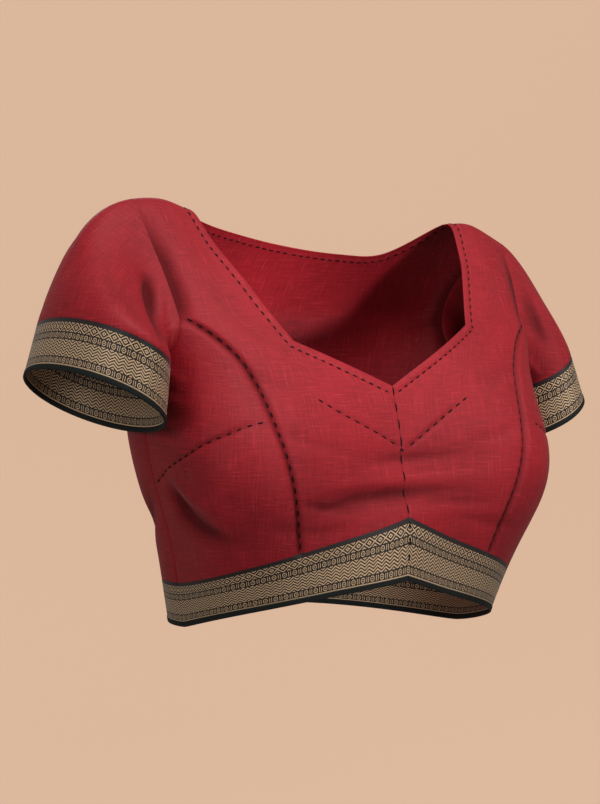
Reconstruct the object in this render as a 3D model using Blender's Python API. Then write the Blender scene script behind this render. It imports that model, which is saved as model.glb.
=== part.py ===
"""Saree blouse: a short fitted bodice with princess seams, an angled neck, set-in sleeves and brocade
borders.

The cloth keeps the hollow form that it has when it is worn, with nobody in it. It is built as it is cut and
sewn: two front panels that meet at a centre seam, two side fronts, one back, two sleeves, a border round
the hem and round each sleeve, and a dark bound edge under each border. Each piece is a wall of cloth, a
seam's gap from its neighbours.

Frame, in metres: +Z up, the wearer faces -Y and the wearer's left is +X. The origin is between the two
points where the neck edge crosses the shoulder seams, because the shoulders hold the blouse up.
"""

import math

import bmesh
import bpy
import numpy as np

# Thickness of each cloth, the gap between pieces that are sewn together, and how far the bound edges stand
# proud.
RED_CLOTH = 0.0015
BORDER_CLOTH = 0.0018
EDGE_CLOTH = 0.0024
SEAM_GAP = 0.0003
EDGE_PROUD = 0.0003

LEFT, RIGHT = 1, -1
NAME_OF = {LEFT: "left", RIGHT: "right"}
SIDE_SEAM = math.pi / 2

# The worn form, one row for each level from the hem up to the shoulder seam. height is at the centre,
# half_width is at the side seam, front and back are how far the cloth stands before and behind the shoulder
# line, side is where the side seam stands, and the squares are 2 for an ellipse and more for a boxier
# section.
LEVEL_COLUMNS = ("height", "half_width", "front", "back", "side", "front_square", "back_square")
LEVELS = (
    (-0.315, 0.1258, 0.0940, 0.0800, -0.005, 2.50, 2.20),
    (-0.278, 0.1322, 0.0960, 0.0800, -0.005, 2.60, 2.25),
    (-0.241, 0.1390, 0.0980, 0.0820, -0.005, 2.60, 2.30),
    (-0.205, 0.1505, 0.1020, 0.0850, -0.005, 2.50, 2.35),
    (-0.170, 0.1595, 0.1010, 0.0890, -0.005, 2.45, 2.40),
    (-0.135, 0.1640, 0.0930, 0.0910, -0.004, 2.60, 2.45),
    (-0.100, 0.1720, 0.0810, 0.0900, -0.003, 2.90, 2.50),
    (-0.068, 0.1890, 0.0605, 0.0800, -0.002, 3.30, 2.60),
    (-0.038, 0.2010, 0.0400, 0.0590, -0.001, 3.80, 2.80),
    (-0.014, 0.2080, 0.0205, 0.0330, 0.000, 4.00, 3.00),
    (0.003, 0.2100, 0.0000, 0.0000, 0.000, 4.00, 3.00),
)
TOP = len(LEVELS) - 1

# The cups that the princess seams and darts shape: how far they stand out, where, and how quickly they
# fade.
CUP_DEPTH = 0.033
CUP_OUT = 0.120
CUP_HEIGHT = -0.190
CUP_SPREAD_IN = 0.072
CUP_SPREAD_OUT = 0.060
CUP_SPREAD_UP = 0.078
CUP_SPREAD_DOWN = 0.080
CUP_TURN = math.radians(34)
# The push fades to nothing at the side seam, and its sideways part at the centre line, over these shares of
# the form.
CUP_FADE_AT_SIDE = 0.6
CUP_FADE_AT_CENTRE = 0.5

# The centre seam stands a little forward of the rest of the front near the hem.
RIDGE_DEPTH = 0.014
RIDGE_HALF_WIDTH = 0.042
RIDGE_FROM = -0.180
RIDGE_TO = -0.245

# How much higher the shoulder seam is than the level nearer the neck, going out, on each side. The wearer's
# right arm is held a little higher than the left one.
SHOULDER_COLUMNS = ("out", "right", "left")
SHOULDER = (
    (0.080, 0.0000, 0.0000),
    (0.100, 0.0000, 0.0000),
    (0.120, 0.0014, 0.0006),
    (0.140, 0.0078, 0.0016),
    (0.160, 0.0090, -0.0058),
    (0.180, 0.0060, -0.0150),
    (0.200, 0.0000, -0.0260),
)
SHOULDER_FADE = 3.0

# Pattern lines on the form, as distances out from the centre line and heights.
LINE_COLUMNS = ("out", "height")
PRINCESS_SEAM = (
    (0.0790, -0.2620),
    (0.0830, -0.2270),
    (0.0890, -0.1950),
    (0.0970, -0.1650),
    (0.1070, -0.1360),
    (0.1200, -0.1100),
    (0.1400, -0.0890),
    (0.1590, -0.0770),
)
UPPER_FRONT_ARMHOLE = (
    (0.1590, -0.0770),
    (0.1620, -0.0530),
    (0.1665, -0.0270),
    (0.1720, 0.0030),
)
LOWER_FRONT_ARMHOLE = (
    (0.1590, -0.0770),
    (0.1600, -0.0910),
    (0.1630, -0.1030),
    (0.1690, -0.1120),
)
BACK_ARMHOLE = (
    (0.1690, -0.1120),
    (0.1610, -0.0940),
    (0.1580, -0.0670),
    (0.1630, -0.0330),
    (0.1720, 0.0030),
)
# The neck edge above its lower corner, which is a little lower on the wearer's right.
FRONT_NECK_SIDE = {
    RIGHT: (
        (0.0773, -0.0940),
        (0.0895, -0.0720),
        (0.1015, -0.0475),
        (0.1130, -0.0240),
        (0.1205, 0.0030),
    ),
    LEFT: (
        (0.0850, -0.0790),
        (0.0940, -0.0620),
        (0.1035, -0.0430),
        (0.1135, -0.0220),
        (0.1205, 0.0030),
    ),
}
FRONT_NECK_POINT = -0.1265
# The back neck edge from the wearer's right to the left, lower towards the shoulder that is held lower.
BACK_NECK = (
    (-0.1205, 0.0030),
    (-0.0904, -0.0042),
    (-0.0603, -0.0095),
    (-0.0301, -0.0140),
    (0.0000, -0.0175),
    (0.0301, -0.0200),
    (0.0603, -0.0213),
    (0.0904, -0.0180),
    (0.1205, 0.0030),
)

# Heights of the border's top and of the hem at the side seams, at the centre front and at the centre back,
# and how sharply the front rises to its point. The blouse hangs a little lower on the wearer's left.
HEIGHT_COLUMNS = ("right", "left", "front", "back")
BORDER_TOP = (-0.2720, -0.2780, -0.2230, -0.2640)
BORDER_TOP_POWER = {RIGHT: 1.60, LEFT: 1.70}
HEM = (-0.3050, -0.3100, -0.2700, -0.2960)
HEM_POWER = {RIGHT: 1.15, LEFT: 1.50}
EDGE_WIDTH = 0.0040

# The sleeves' ovals at the border's top and at the cuff, as the wearer's right arm swings a little forward
# and the left one back. Both ovals are tipped so that the outer side is the higher one.
SLEEVE_OVAL_COLUMNS = ("out", "forward", "height", "half_width", "half_depth")
SLEEVE_OVALS = {
    RIGHT: (
        (0.2075, 0.0230, -0.0990, 0.0435, 0.0690),
        (0.2120, 0.0180, -0.1380, 0.0485, 0.0700),
    ),
    LEFT: (
        (0.2000, -0.0160, -0.1110, 0.0380, 0.0660),
        (0.2038, -0.0080, -0.1495, 0.0425, 0.0680),
    ),
}
OVAL_TILT = {RIGHT: math.radians(28), LEFT: math.radians(32)}
SLEEVE_REACH_AT_BODY = {RIGHT: 1.15, LEFT: 0.85}
SLEEVE_REACH_AT_BORDER = 0.80
UNDERARM_GAP = 0.0006
EVENING_PASSES = 5
# How far round from the shoulder seam the sleeve starts to hang straight down, as a share of the way to the
# underarm, and the shares of its length over which folds begin below the armhole and end above the border.
HANGS_FROM = 0.7
FOLDS_BEGIN = 0.25
FOLDS_END = 0.80

# The largest soft folds of the bodice. Each is a curve through three places, as degrees from the centre
# line (negative on the wearer's right) and heights, with how far it pushes the cloth out at its middle and
# how wide it is.
FOLD_COLUMNS = ("turn", "height", "turn", "height", "turn", "height", "push", "half_width")
FRONT_FOLDS = (
    (-34, -0.2235, -4, -0.2045, 33, -0.2090, -0.0030, 0.0100),
    (-30, -0.2000, 0, -0.1935, 30, -0.1950, 0.0014, 0.0100),
    (-16, -0.1850, 6, -0.1800, 30, -0.1770, -0.0016, 0.0090),
    (-84, -0.1850, -76, -0.2200, -52, -0.2420, -0.0026, 0.0100),
    (88, -0.1860, 79, -0.2240, 58, -0.2430, -0.0022, 0.0110),
    (-86, -0.1350, -73, -0.1480, -58, -0.1500, -0.0022, 0.0100),
    (84, -0.1340, 70, -0.1500, 57, -0.1580, -0.0018, 0.0090),
)
BACK_FOLDS = (
    (-88, -0.1940, -66, -0.2260, -38, -0.2370, -0.0024, 0.0110),
    (-46, -0.2110, -6, -0.2240, 40, -0.2130, -0.0026, 0.0120),
    (-20, -0.1860, 22, -0.1960, 62, -0.1800, 0.0018, 0.0120),
    (-74, -0.1250, -52, -0.1490, -26, -0.1540, -0.0024, 0.0110),
    (79, -0.1300, 61, -0.1600, 30, -0.1680, -0.0026, 0.0120),
    (-34, -0.0640, 2, -0.0800, 30, -0.0740, -0.0018, 0.0120),
)
# The largest folds of each sleeve, as degrees round it from the outer side, over the front, and shares of
# its length.
SLEEVE_FOLD_COLUMNS = ("turn", "along", "turn", "along", "turn", "along", "push", "half_width")
SLEEVE_FOLDS = {
    RIGHT: (
        (48, 0.18, 76, 0.33, 96, 0.62, -0.0034, 0.0100),
        (34, 0.50, 62, 0.66, 88, 0.92, -0.0016, 0.0100),
        (-140, 0.20, -105, 0.38, -84, 0.70, -0.0030, 0.0110),
    ),
    LEFT: (
        (52, 0.16, 78, 0.34, 92, 0.66, -0.0030, 0.0100),
        (-130, 0.22, -98, 0.34, -70, 0.60, -0.0032, 0.0110),
        (-70, 0.50, -46, 0.62, -24, 0.90, -0.0018, 0.0100),
    ),
}
FOLD_STEPS = 24

# Rows and columns of the nets that the pieces are made from.
SEAM_ROWS = 18
UPPER_ARMHOLE_ROWS = 8
BACK_ARMHOLE_ROWS = 15
NECK_POINT_ROWS = 10
NECK_CORNER_ROWS = 6
FRONT_COLUMNS = 9
SIDE_COLUMNS = 10
BACK_COLUMNS = 34
SLEEVE_ROWS = 9
BORDER_ROWS = 3
LINE_STEPS = 400
HALVINGS = 40
SMALL_STEP = 1e-3
SHARP_EDGE = math.radians(50)


def slopes(values):
    """Slope at each evenly spaced value of the smoothest cubic curve through them."""
    count = len(values)
    weights = 4 * np.eye(count) + np.eye(count, k=1) + np.eye(count, k=-1)
    weights[0, 0] = weights[-1, -1] = 2
    rises = np.empty(count)
    rises[1:-1] = 3 * (values[2:] - values[:-2])
    rises[0] = 3 * (values[1] - values[0])
    rises[-1] = 3 * (values[-1] - values[-2])
    return np.linalg.solve(weights, rises)


def smooth(values, at):
    """The curve through evenly spaced values, read at the fractional place at, where place 0 is the first
    value."""
    slope = slopes(values)
    low = np.clip(np.floor(at).astype(int), 0, len(values) - 2)
    t = at - low
    square, cube = t * t, t * t * t
    return (
        (2 * cube - 3 * square + 1) * values[low]
        + (cube - 2 * square + t) * slope[low]
        + (3 * square - 2 * cube) * values[low + 1]
        + (cube - square) * slope[low + 1]
    )


def ease(value, low, high):
    """0 below low, 1 above high, and a smooth step between."""
    t = np.clip((value - low) / (high - low), 0, 1)
    return t * t * (3 - 2 * t)


def unit(vectors):
    return vectors / np.linalg.norm(vectors, axis=-1, keepdims=True)


def over_shoulder():
    """The level columns laid end to end: up the front, over the shoulder seam and down the back."""
    table = {name: np.array([row[i] for row in LEVELS]) for i, name in enumerate(LEVEL_COLUMNS)}
    shared = ("height", "half_width", "side")
    both = {name: np.concatenate([table[name], table[name][-2::-1]]) for name in shared}
    both["depth"] = np.concatenate([-table["front"], table["back"][-2::-1]])
    both["square"] = np.concatenate([table["front_square"], table["back_square"][-2::-1]])
    return both


FORM = over_shoulder()


def cups(x, z):
    """How far the two cups push the front out at a place on it."""
    total = 0.0
    for centre in (CUP_OUT, -CUP_OUT):
        away = x - centre
        outer = away * np.sign(centre) > 0
        across = away / np.where(outer, CUP_SPREAD_OUT, CUP_SPREAD_IN)
        up = (z - CUP_HEIGHT) / np.where(z > CUP_HEIGHT, CUP_SPREAD_UP, CUP_SPREAD_DOWN)
        total = total + np.exp(-across * across - up * up)
    return CUP_DEPTH * total


def ridge(x, z):
    """How far the centre seam stands forward."""
    return RIDGE_DEPTH * np.exp(-((x / RIDGE_HALF_WIDTH) ** 2)) * ease(z, RIDGE_FROM, RIDGE_TO)


def shoulder_rise(side, out):
    """How far the shoulder seam stands above its height nearer the neck."""
    column = 1 if side == RIGHT else 2
    step = SHOULDER[1][0] - SHOULDER[0][0]
    at = np.clip((out - SHOULDER[0][0]) / step, 0, len(SHOULDER) - 1)
    return smooth(np.array([row[column] for row in SHOULDER]), at)


def smooth_form(side, way, angle):
    """Points of the bodice's outer face without its folds. way runs from 0 at the front hem over the
    shoulder seam at TOP to the back hem, and angle from 0 at the centre line to SIDE_SEAM."""
    way, angle = np.broadcast_arrays(np.asarray(way, float), np.asarray(angle, float))
    row = {name: smooth(column, way) for name, column in FORM.items()}
    cosine, sine = np.cos(angle), np.sin(angle)
    power = row["square"]
    reach = (np.abs(cosine) ** power + np.abs(sine) ** power) ** (-1 / power)
    across, out = sine * reach, cosine * reach
    x = side * row["half_width"] * across
    y = row["side"] + (row["depth"] - row["side"]) * out
    z = row["height"]
    push = np.where(way < TOP, cups(x, z) * ease(out, 0.0, CUP_FADE_AT_SIDE), 0.0)
    z = z + shoulder_rise(side, np.abs(x)) * ease(TOP - np.abs(way - TOP), TOP - SHOULDER_FADE, TOP)
    x = x + side * push * np.sin(CUP_TURN) * ease(across, 0.0, CUP_FADE_AT_CENTRE)
    y = y - push * np.cos(CUP_TURN) - np.where(way < TOP, ridge(x, z), 0.0)
    return np.stack([x, y, z], axis=-1)


def out_of(surface, side, way, angle):
    """The direction out of a surface of the bodice."""
    along = surface(side, way + SMALL_STEP, angle) - surface(side, way - SMALL_STEP, angle)
    around = surface(side, way, angle + SMALL_STEP) - surface(side, way, angle - SMALL_STEP)
    return side * unit(np.cross(around, along))


def through(first, middle, last):
    """Steps along the curve through three pairs of numbers, and how much of a fold there is at each
    step."""
    t = (np.arange(FOLD_STEPS) + 0.5)[:, None] / FOLD_STEPS
    bend = 2 * np.array(middle) - (np.array(first) + np.array(last)) / 2
    return (1 - t) ** 2 * first + 2 * t * (1 - t) * bend + t**2 * last, np.sin(math.pi * t[:, 0])


def fold_push(points, crease, strength, push, half_width):
    """How far one fold pushes points out, from the points of its crease."""
    step = np.linalg.norm(np.diff(crease, axis=0), axis=1).mean()
    away = np.sum((points[..., None, :] - crease) ** 2, axis=-1) / half_width**2
    return push * step / (half_width * math.sqrt(math.pi)) * np.sum(strength * np.exp(-away), axis=-1)


def bodice_creases(table, front):
    """The points of each fold's crease on the form, with its strengths, its push and its half width."""
    creases = []
    for a, b, c, d, e, f, push, half_width in table:
        line, strength = through((a, b), (c, d), (e, f))
        way, turn = way_at(line[:, 1], front), np.radians(line[:, 0])
        sides = np.sign(turn)[:, None]
        right, left = (smooth_form(side, way, np.abs(turn)) for side in (RIGHT, LEFT))
        creases.append((np.where(sides < 0, right, left), strength, push, half_width))
    return creases


def torso(side, way, angle):
    """Points of the bodice's outer face with its folds."""
    points = smooth_form(side, way, angle)
    push = sum(fold_push(points, *crease) for crease in CREASES)
    return points + push[..., None] * out_of(smooth_form, side, way, angle)


def torso_normal(side, way, angle):
    return out_of(torso, side, way, angle)


def way_at(height, front=True):
    """The place over the shoulder where the form has that height."""
    low, high = np.zeros_like(height), np.full_like(height, TOP)
    for _ in range(HALVINGS):
        middle = (low + high) / 2
        below = smooth(FORM["height"], middle) < height
        low, high = np.where(below, middle, low), np.where(below, high, middle)
    return low if front else 2 * TOP - low


def angle_at(way, out):
    """The angle at which the form has that distance from the centre line."""
    width, power = smooth(FORM["half_width"], way), smooth(FORM["square"], way)
    share = np.clip(out / width, 0, 1)
    return np.arctan2(share, (1 - share**power) ** (1 / power))


def places(out, height, front=True):
    """(way, angle) of points given as distances out and heights."""
    way = way_at(np.asarray(height, float), front)
    return np.stack([way, angle_at(way, np.asarray(out, float))], axis=-1)


CREASES = bodice_creases(FRONT_FOLDS, True) + bodice_creases(BACK_FOLDS, False)


def pattern_line(table, front=True):
    """Many places along the smooth line through a table's rows."""
    out, height = (np.array([row[i] for row in table]) for i in range(len(LINE_COLUMNS)))
    at = np.linspace(0, len(table) - 1, LINE_STEPS)
    return places(smooth(out, at), smooth(height, at), front)


def evenly(side, line, count):
    """count steps of equal length along a line of places."""
    points = torso(side, line[:, 0], line[:, 1])
    length = np.concatenate([[0], np.cumsum(np.linalg.norm(np.diff(points, axis=0), axis=1))])
    at = np.linspace(0, length[-1], count + 1)
    return np.stack([np.interp(at, length, line[:, i]) for i in range(2)], axis=-1)


def front_edge(side, heights, power, angle, above=0.0):
    """Places on one half of an edge that rises to a point at the centre front."""
    low, centre = heights[0 if side == RIGHT else 1], heights[2]
    height = low + (centre - low) * (1 - angle / SIDE_SEAM) ** power[side]
    return np.stack([way_at(height + above), angle], axis=-1)


def back_edge(heights, angle, above=0.0):
    """Places on an edge across the back, where the angle is negative on the wearer's right."""
    right, left, _, centre = heights
    across = np.sin(angle)
    low = (right + left) / 2 + (left - right) / 2 * across
    height = low + (centre - (right + left) / 2) * np.cos(angle) ** 2
    return np.stack([way_at(height + above, front=False), angle], axis=-1)


def net_between(bottom, top, left, right):
    """A net of places inside four edges that share their corners. The bottom and top edges fade into each
    other by how far up the left edge each row starts, so that no row crosses the next."""
    u = np.linspace(0, 1, len(bottom))[:, None]
    v = ((left[:, 0] - left[0, 0]) / (left[-1, 0] - left[0, 0]))[:, None, None]
    straight_bottom = (1 - u) * bottom[0] + u * bottom[-1]
    straight_top = (1 - u) * top[0] + u * top[-1]
    sides = (1 - u) * left[:, None] + u * right[:, None]
    return sides + (1 - v) * (bottom - straight_bottom) + v * (top - straight_top)


def joined(*lines):
    """Lines of places end to end, with their common ends once."""
    return np.concatenate([lines[0]] + [line[1:] for line in lines[1:]])


def front_lines(side):
    """The seams of one half of the front, as places."""
    princess = pattern_line(PRINCESS_SEAM)
    armhole_up = pattern_line(UPPER_FRONT_ARMHOLE)
    armhole_down = pattern_line(LOWER_FRONT_ARMHOLE)
    border = front_edge(side, BORDER_TOP, BORDER_TOP_POWER, np.linspace(0, SIDE_SEAM, LINE_STEPS))
    # The princess seam ends on the border's top, where the two lines cross.
    gap = princess[:, 0] - np.interp(princess[:, 1], border[:, 1], border[:, 0])
    start = np.interp(0, gap, np.arange(len(gap)))
    first = np.array([np.interp(start, np.arange(len(gap)), princess[:, i]) for i in range(2)])
    princess = np.concatenate([[first], princess[int(start) + 1 :]])
    inner = front_edge(side, BORDER_TOP, BORDER_TOP_POWER, np.linspace(0, first[1], LINE_STEPS))
    outer = front_edge(side, BORDER_TOP, BORDER_TOP_POWER, np.linspace(first[1], SIDE_SEAM, LINE_STEPS))
    inner[-1] = outer[0] = first
    underarm = armhole_down[-1]
    up_the_side = np.linspace(outer[-1, 0], underarm[0], LINE_STEPS)
    seam = np.stack([up_the_side, np.full(LINE_STEPS, SIDE_SEAM)], axis=-1)
    armhole_down[-1, 1] = SIDE_SEAM
    neck_point = places([0.0], [FRONT_NECK_POINT])[0]
    neck_side = pattern_line(FRONT_NECK_SIDE[side])
    corner_out, corner_height = FRONT_NECK_SIDE[side][0]
    low_heights = np.linspace(FRONT_NECK_POINT, corner_height, LINE_STEPS)
    neck_low = places(np.linspace(0, corner_out, LINE_STEPS), low_heights)
    centre = np.stack([np.linspace(inner[0, 0], neck_point[0], LINE_STEPS), np.zeros(LINE_STEPS)], axis=-1)
    over_top = np.linspace(neck_side[-1, 1], armhole_up[-1, 1], LINE_STEPS)
    shoulder = np.stack([np.full(LINE_STEPS, float(TOP)), over_top], axis=-1)
    neck_rows = SEAM_ROWS + UPPER_ARMHOLE_ROWS - NECK_POINT_ROWS - NECK_CORNER_ROWS
    return {
        "centre": evenly(side, centre, NECK_POINT_ROWS),
        "neck_low": evenly(side, neck_low, NECK_CORNER_ROWS),
        "neck_side": evenly(side, neck_side, neck_rows),
        "shoulder": evenly(side, shoulder, FRONT_COLUMNS),
        "armhole_up": evenly(side, armhole_up, UPPER_ARMHOLE_ROWS),
        "armhole_down": evenly(side, armhole_down, SIDE_COLUMNS),
        "princess": evenly(side, princess, SEAM_ROWS),
        "side_seam": evenly(side, seam, SEAM_ROWS),
        "border_inner": evenly(side, inner, FRONT_COLUMNS),
        "border_outer": evenly(side, outer, SIDE_COLUMNS),
    }


def behind(line):
    """The places over the shoulder from a line on the side or shoulder seam, which front and back share."""
    return np.stack([2 * TOP - line[:, 0], line[:, 1]], axis=-1)


LINES = {side: front_lines(side) for side in (LEFT, RIGHT)}


def back_armhole(side):
    line = pattern_line(BACK_ARMHOLE, front=False)
    line[0] = behind(LINES[side]["side_seam"][-1:])[0]
    line[-1] = LINES[side]["shoulder"][-1]
    return evenly(side, line, BACK_ARMHOLE_ROWS)


def panel(side, net):
    """Outer points and outward directions of a net of places."""
    return torso(side, net[..., 0], net[..., 1]), torso_normal(side, net[..., 0], net[..., 1])


def front_centre(side):
    line = LINES[side]
    inner = joined(line["centre"], line["neck_low"], line["neck_side"])
    outer = joined(line["princess"], line["armhole_up"])
    return panel(side, net_between(line["border_inner"], line["shoulder"], inner, outer))


def front_side(side):
    line = LINES[side]
    bottom, top = line["border_outer"], line["armhole_down"]
    return panel(side, net_between(bottom, top, line["princess"], line["side_seam"]))


def signed(side, line):
    """Places with the angle negative on the wearer's right, so that one net can cross the back."""
    return line * np.array([1, side])


def both_sides(net):
    """Outer points and outward directions of a net whose angle is negative on the wearer's right."""
    side = np.where(net[..., 1] < 0, RIGHT, LEFT)
    way, angle = net[..., 0], np.abs(net[..., 1])
    on_left = side[..., None] == LEFT
    points = np.where(on_left, torso(LEFT, way, angle), torso(RIGHT, way, angle))
    normals = np.where(on_left, torso_normal(LEFT, way, angle), torso_normal(RIGHT, way, angle))
    return points, normals


def back_neck():
    """The back neck edge, from the wearer's right shoulder to the left."""
    at = np.linspace(0, len(BACK_NECK) - 1, LINE_STEPS)
    out, height = (smooth(np.array([row[i] for row in BACK_NECK]), at) for i in range(len(LINE_COLUMNS)))
    line = places(np.abs(out), height, front=False)
    line[:, 1] *= np.sign(out)
    points, _ = both_sides(line)
    length = np.concatenate([[0], np.cumsum(np.linalg.norm(np.diff(points, axis=0), axis=1))])
    at = np.linspace(0, length[-1], BACK_COLUMNS - 2 * FRONT_COLUMNS + 1)
    return np.stack([np.interp(at, length, line[:, i]) for i in range(2)], axis=-1)


def back_panel():
    right, left = (
        signed(side, joined(behind(LINES[side]["side_seam"]), back_armhole(side))) for side in (RIGHT, LEFT)
    )
    top = joined(
        signed(RIGHT, LINES[RIGHT]["shoulder"])[::-1],
        back_neck(),
        signed(LEFT, LINES[LEFT]["shoulder"]),
    )
    bottom = back_edge(BORDER_TOP, np.linspace(-SIDE_SEAM, SIDE_SEAM, BACK_COLUMNS + 1))
    bottom[0], bottom[-1] = right[0], left[0]
    return both_sides(net_between(bottom, top, right, left))


def inset(loop, normals, by):
    """A closed loop of points moved by a distance in its surface, to the left of its direction seen from
    outside."""
    before = unit(loop - np.roll(loop, 1, axis=0))
    after = unit(np.roll(loop, -1, axis=0) - loop)
    first, second = unit(np.cross(normals, before)), unit(np.cross(normals, after))
    return loop + by * (first + second) / (1 + np.sum(first * second, axis=1, keepdims=True))


def perimeter(rows, columns):
    """Row and column of each point on a net's edge, anticlockwise when the first row is at the bottom."""
    bottom = [(0, c) for c in range(columns - 1)]
    right = [(r, columns - 1) for r in range(rows - 1)]
    top = [(rows - 1, c) for c in range(columns - 1, 0, -1)]
    left = [(r, 0) for r in range(rows - 1, 0, -1)]
    return np.array(bottom + right + top + left)


MATERIAL_COLUMNS = ("name", "red", "green", "blue", "roughness")
MATERIALS = (
    ("red slub silk", 0.350, 0.020, 0.025, 0.6),
    ("zari brocade border", 0.200, 0.120, 0.060, 0.5),
    ("dark bound edge", 0.010, 0.012, 0.011, 0.7),
)


def material(name, red, green, blue, roughness):
    made = bpy.data.materials.new(name)
    made.use_nodes = True
    shader = made.node_tree.nodes["Principled BSDF"]
    shader.inputs["Base Color"].default_value = (red, green, blue, 1)
    shader.inputs["Roughness"].default_value = roughness
    return made


def halves(quad, points):
    """A quad of a net as two triangles along its shorter diagonal, so that slanted quads don't fold."""
    first, second, third, fourth = (points[place] for place in quad)
    if np.linalg.norm(third - first) <= np.linalg.norm(fourth - second):
        return quad[:3], [quad[0], quad[2], quad[3]]
    return [quad[0], quad[1], quad[3]], quad[1:]


def cloth(name, points, normals, thickness, look, tube=False, flip=False, proud=0.0):
    """One piece of cloth as a closed wall: a net of outer points, the same net moved in, and the rim
    between."""
    points = points + proud * normals
    rows, columns = points.shape[:2]
    if tube:
        first, last_row = (np.array([(row, c) for c in range(columns)]) for row in (0, rows - 1))
        edges = [first, last_row[::-1]]
    else:
        edges = [perimeter(rows, columns)]
    if flip:
        edges = [edge[::-1] for edge in edges]
    for edge in edges:
        r, c = edge.T
        points[r, c] = inset(points[r, c], normals[r, c], SEAM_GAP / 2)
    mesh = bmesh.new()
    outer = [[mesh.verts.new(p) for p in row] for row in points]
    inner = [[mesh.verts.new(p) for p in row] for row in points - thickness * normals]
    last = columns if tube else columns - 1
    for r in range(rows - 1):
        for c in range(last):
            d = (c + 1) % columns
            quad = [(r, c), (r, d), (r + 1, d), (r + 1, c)]
            if flip:
                quad.reverse()
            for corners in halves(quad, points):
                mesh.faces.new([outer[i][j] for i, j in corners])
                mesh.faces.new([inner[i][j] for i, j in reversed(corners)])
    for edge in edges:
        for (a, b), (e, f) in zip(edge, np.roll(edge, -1, axis=0)):
            mesh.faces.new([outer[e][f], outer[a][b], inner[a][b], inner[e][f]])
    data = bpy.data.meshes.new(name)
    mesh.to_mesh(data)
    mesh.free()
    data.materials.append(look)
    data.shade_smooth()
    data.set_sharp_from_angle(angle=SHARP_EDGE)
    made = bpy.data.objects.new(name, data)
    bpy.context.scene.collection.objects.link(made)
    return made


def armhole_ring(side):
    """Places round the armhole, from the shoulder seam down the front to the underarm and up the back."""
    line = LINES[side]
    return joined(line["armhole_up"][::-1], line["armhole_down"], back_armhole(side))[:-1]


def oval(side, row, turn):
    """Points round a sleeve, where turn is 0 at the outer side and a right angle at the front."""
    out, forward, height, half_width, half_depth = row
    outward = np.array([side * math.cos(OVAL_TILT[side]), 0, math.sin(OVAL_TILT[side])])
    wide, deep = half_width * np.cos(turn)[:, None], half_depth * np.sin(turn)[:, None]
    return np.array([side * out, -forward, height]) + wide * outward - deep * np.array([0, 1, 0])


def on_rings(rings, row, column):
    """The point at a fractional row and a fractional column of a tube's rings."""
    low, left = min(int(row), len(rings) - 2), int(column)
    right, over = (left + 1) % rings.shape[1], column - left
    lower, upper = ((1 - over) * ring[left] + over * ring[right] for ring in rings[low : low + 2])
    return (1 - row + low) * lower + (row - low) * upper


def folded_sleeve(side, rings, turn):
    """A sleeve's rings with its folds, which leave the armhole and the border's top as they are."""
    normals = tube_normals(side, rings)
    along = np.linspace(0, 1, len(rings))
    reached = np.concatenate([turn - turn[0], [2 * math.pi]])
    push = np.zeros(rings.shape[:2])
    for a, b, c, d, e, f, depth, half_width in SLEEVE_FOLDS[side]:
        line, strength = through((a, b), (c, d), (e, f))
        row = line[:, 1] * (len(rings) - 1)
        turned = (np.radians(line[:, 0]) - turn[0]) % (2 * math.pi)
        column = np.interp(turned, reached, np.arange(len(reached)))
        crease = np.stack([on_rings(rings, r, c) for r, c in zip(row, column)])
        push += fold_push(rings, crease, strength, depth, half_width)
    fade = ease(along, 0.0, FOLDS_BEGIN) * (1 - ease(along, FOLDS_END, 1.0))
    return rings + (push * fade[:, None])[..., None] * normals


def sleeve_sections(side):
    """Rings of points from the armhole to the border's top, then along the border to the cuff."""
    ring = armhole_ring(side)
    start = torso(side, ring[:, 0], ring[:, 1])
    normals = torso_normal(side, ring[:, 0], ring[:, 1])
    along = unit(np.roll(start, -1, axis=0) - np.roll(start, 1, axis=0))
    leave = unit(side * np.cross(normals, along))
    length = np.linalg.norm(np.roll(start, -1, axis=0) - start, axis=1)
    underarm = UPPER_ARMHOLE_ROWS + SIDE_COLUMNS
    front = np.concatenate([[0], np.cumsum(length[: underarm - 1])]) / length[:underarm].sum()
    back = np.concatenate([[0], np.cumsum(length[underarm:-1])]) / length[underarm:].sum()
    # The shoulder seam and the underarm meet the ovals straight below where they leave the armhole.
    _, forward, _, _, half_depth = SLEEVE_OVALS[side][0]
    at_shoulder = -math.asin(forward / half_depth)
    at_underarm = math.pi + math.asin((forward + start[underarm, 1]) / half_depth)
    turn = np.concatenate([
        at_shoulder + (at_underarm - at_shoulder) * front,
        at_underarm + (at_shoulder + 2 * math.pi - at_underarm) * back,
    ])
    top, cuff = (oval(side, row, turn) for row in SLEEVE_OVALS[side])
    axis = unit(cuff - top)
    from_shoulder = (1 - np.cos(math.pi * np.concatenate([front, 1 + back]))) / 2
    lowness = ease(from_shoulder, 0.0, HANGS_FROM)[:, None]
    # The sleeve leaves downward only where the armhole doesn't run that way itself.
    downward = lowness * (1 - np.sum(along * axis, axis=1, keepdims=True) ** 2)
    leave = unit((1 - downward) * leave + downward * axis)
    start = start + UNDERARM_GAP * lowness * normals
    reach = np.linalg.norm(top - start, axis=1, keepdims=True)
    sleeve = []
    for t in np.linspace(0, 1, SLEEVE_ROWS + 1):
        square, cube = t * t, t * t * t
        sleeve.append(
            (2 * cube - 3 * square + 1) * start
            + (cube - 2 * square + t) * SLEEVE_REACH_AT_BODY[side] * reach * leave
            + (3 * square - 2 * cube) * top
            + (cube - square) * SLEEVE_REACH_AT_BORDER * reach * axis
        )
    sleeve = folded_sleeve(side, np.array(sleeve), turn)
    low = cuff - EDGE_WIDTH * axis
    border = [top + t * (low - top) for t in np.linspace(0, 1, BORDER_ROWS + 1)]
    return sleeve, np.array(border), np.array([low, cuff])


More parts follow.
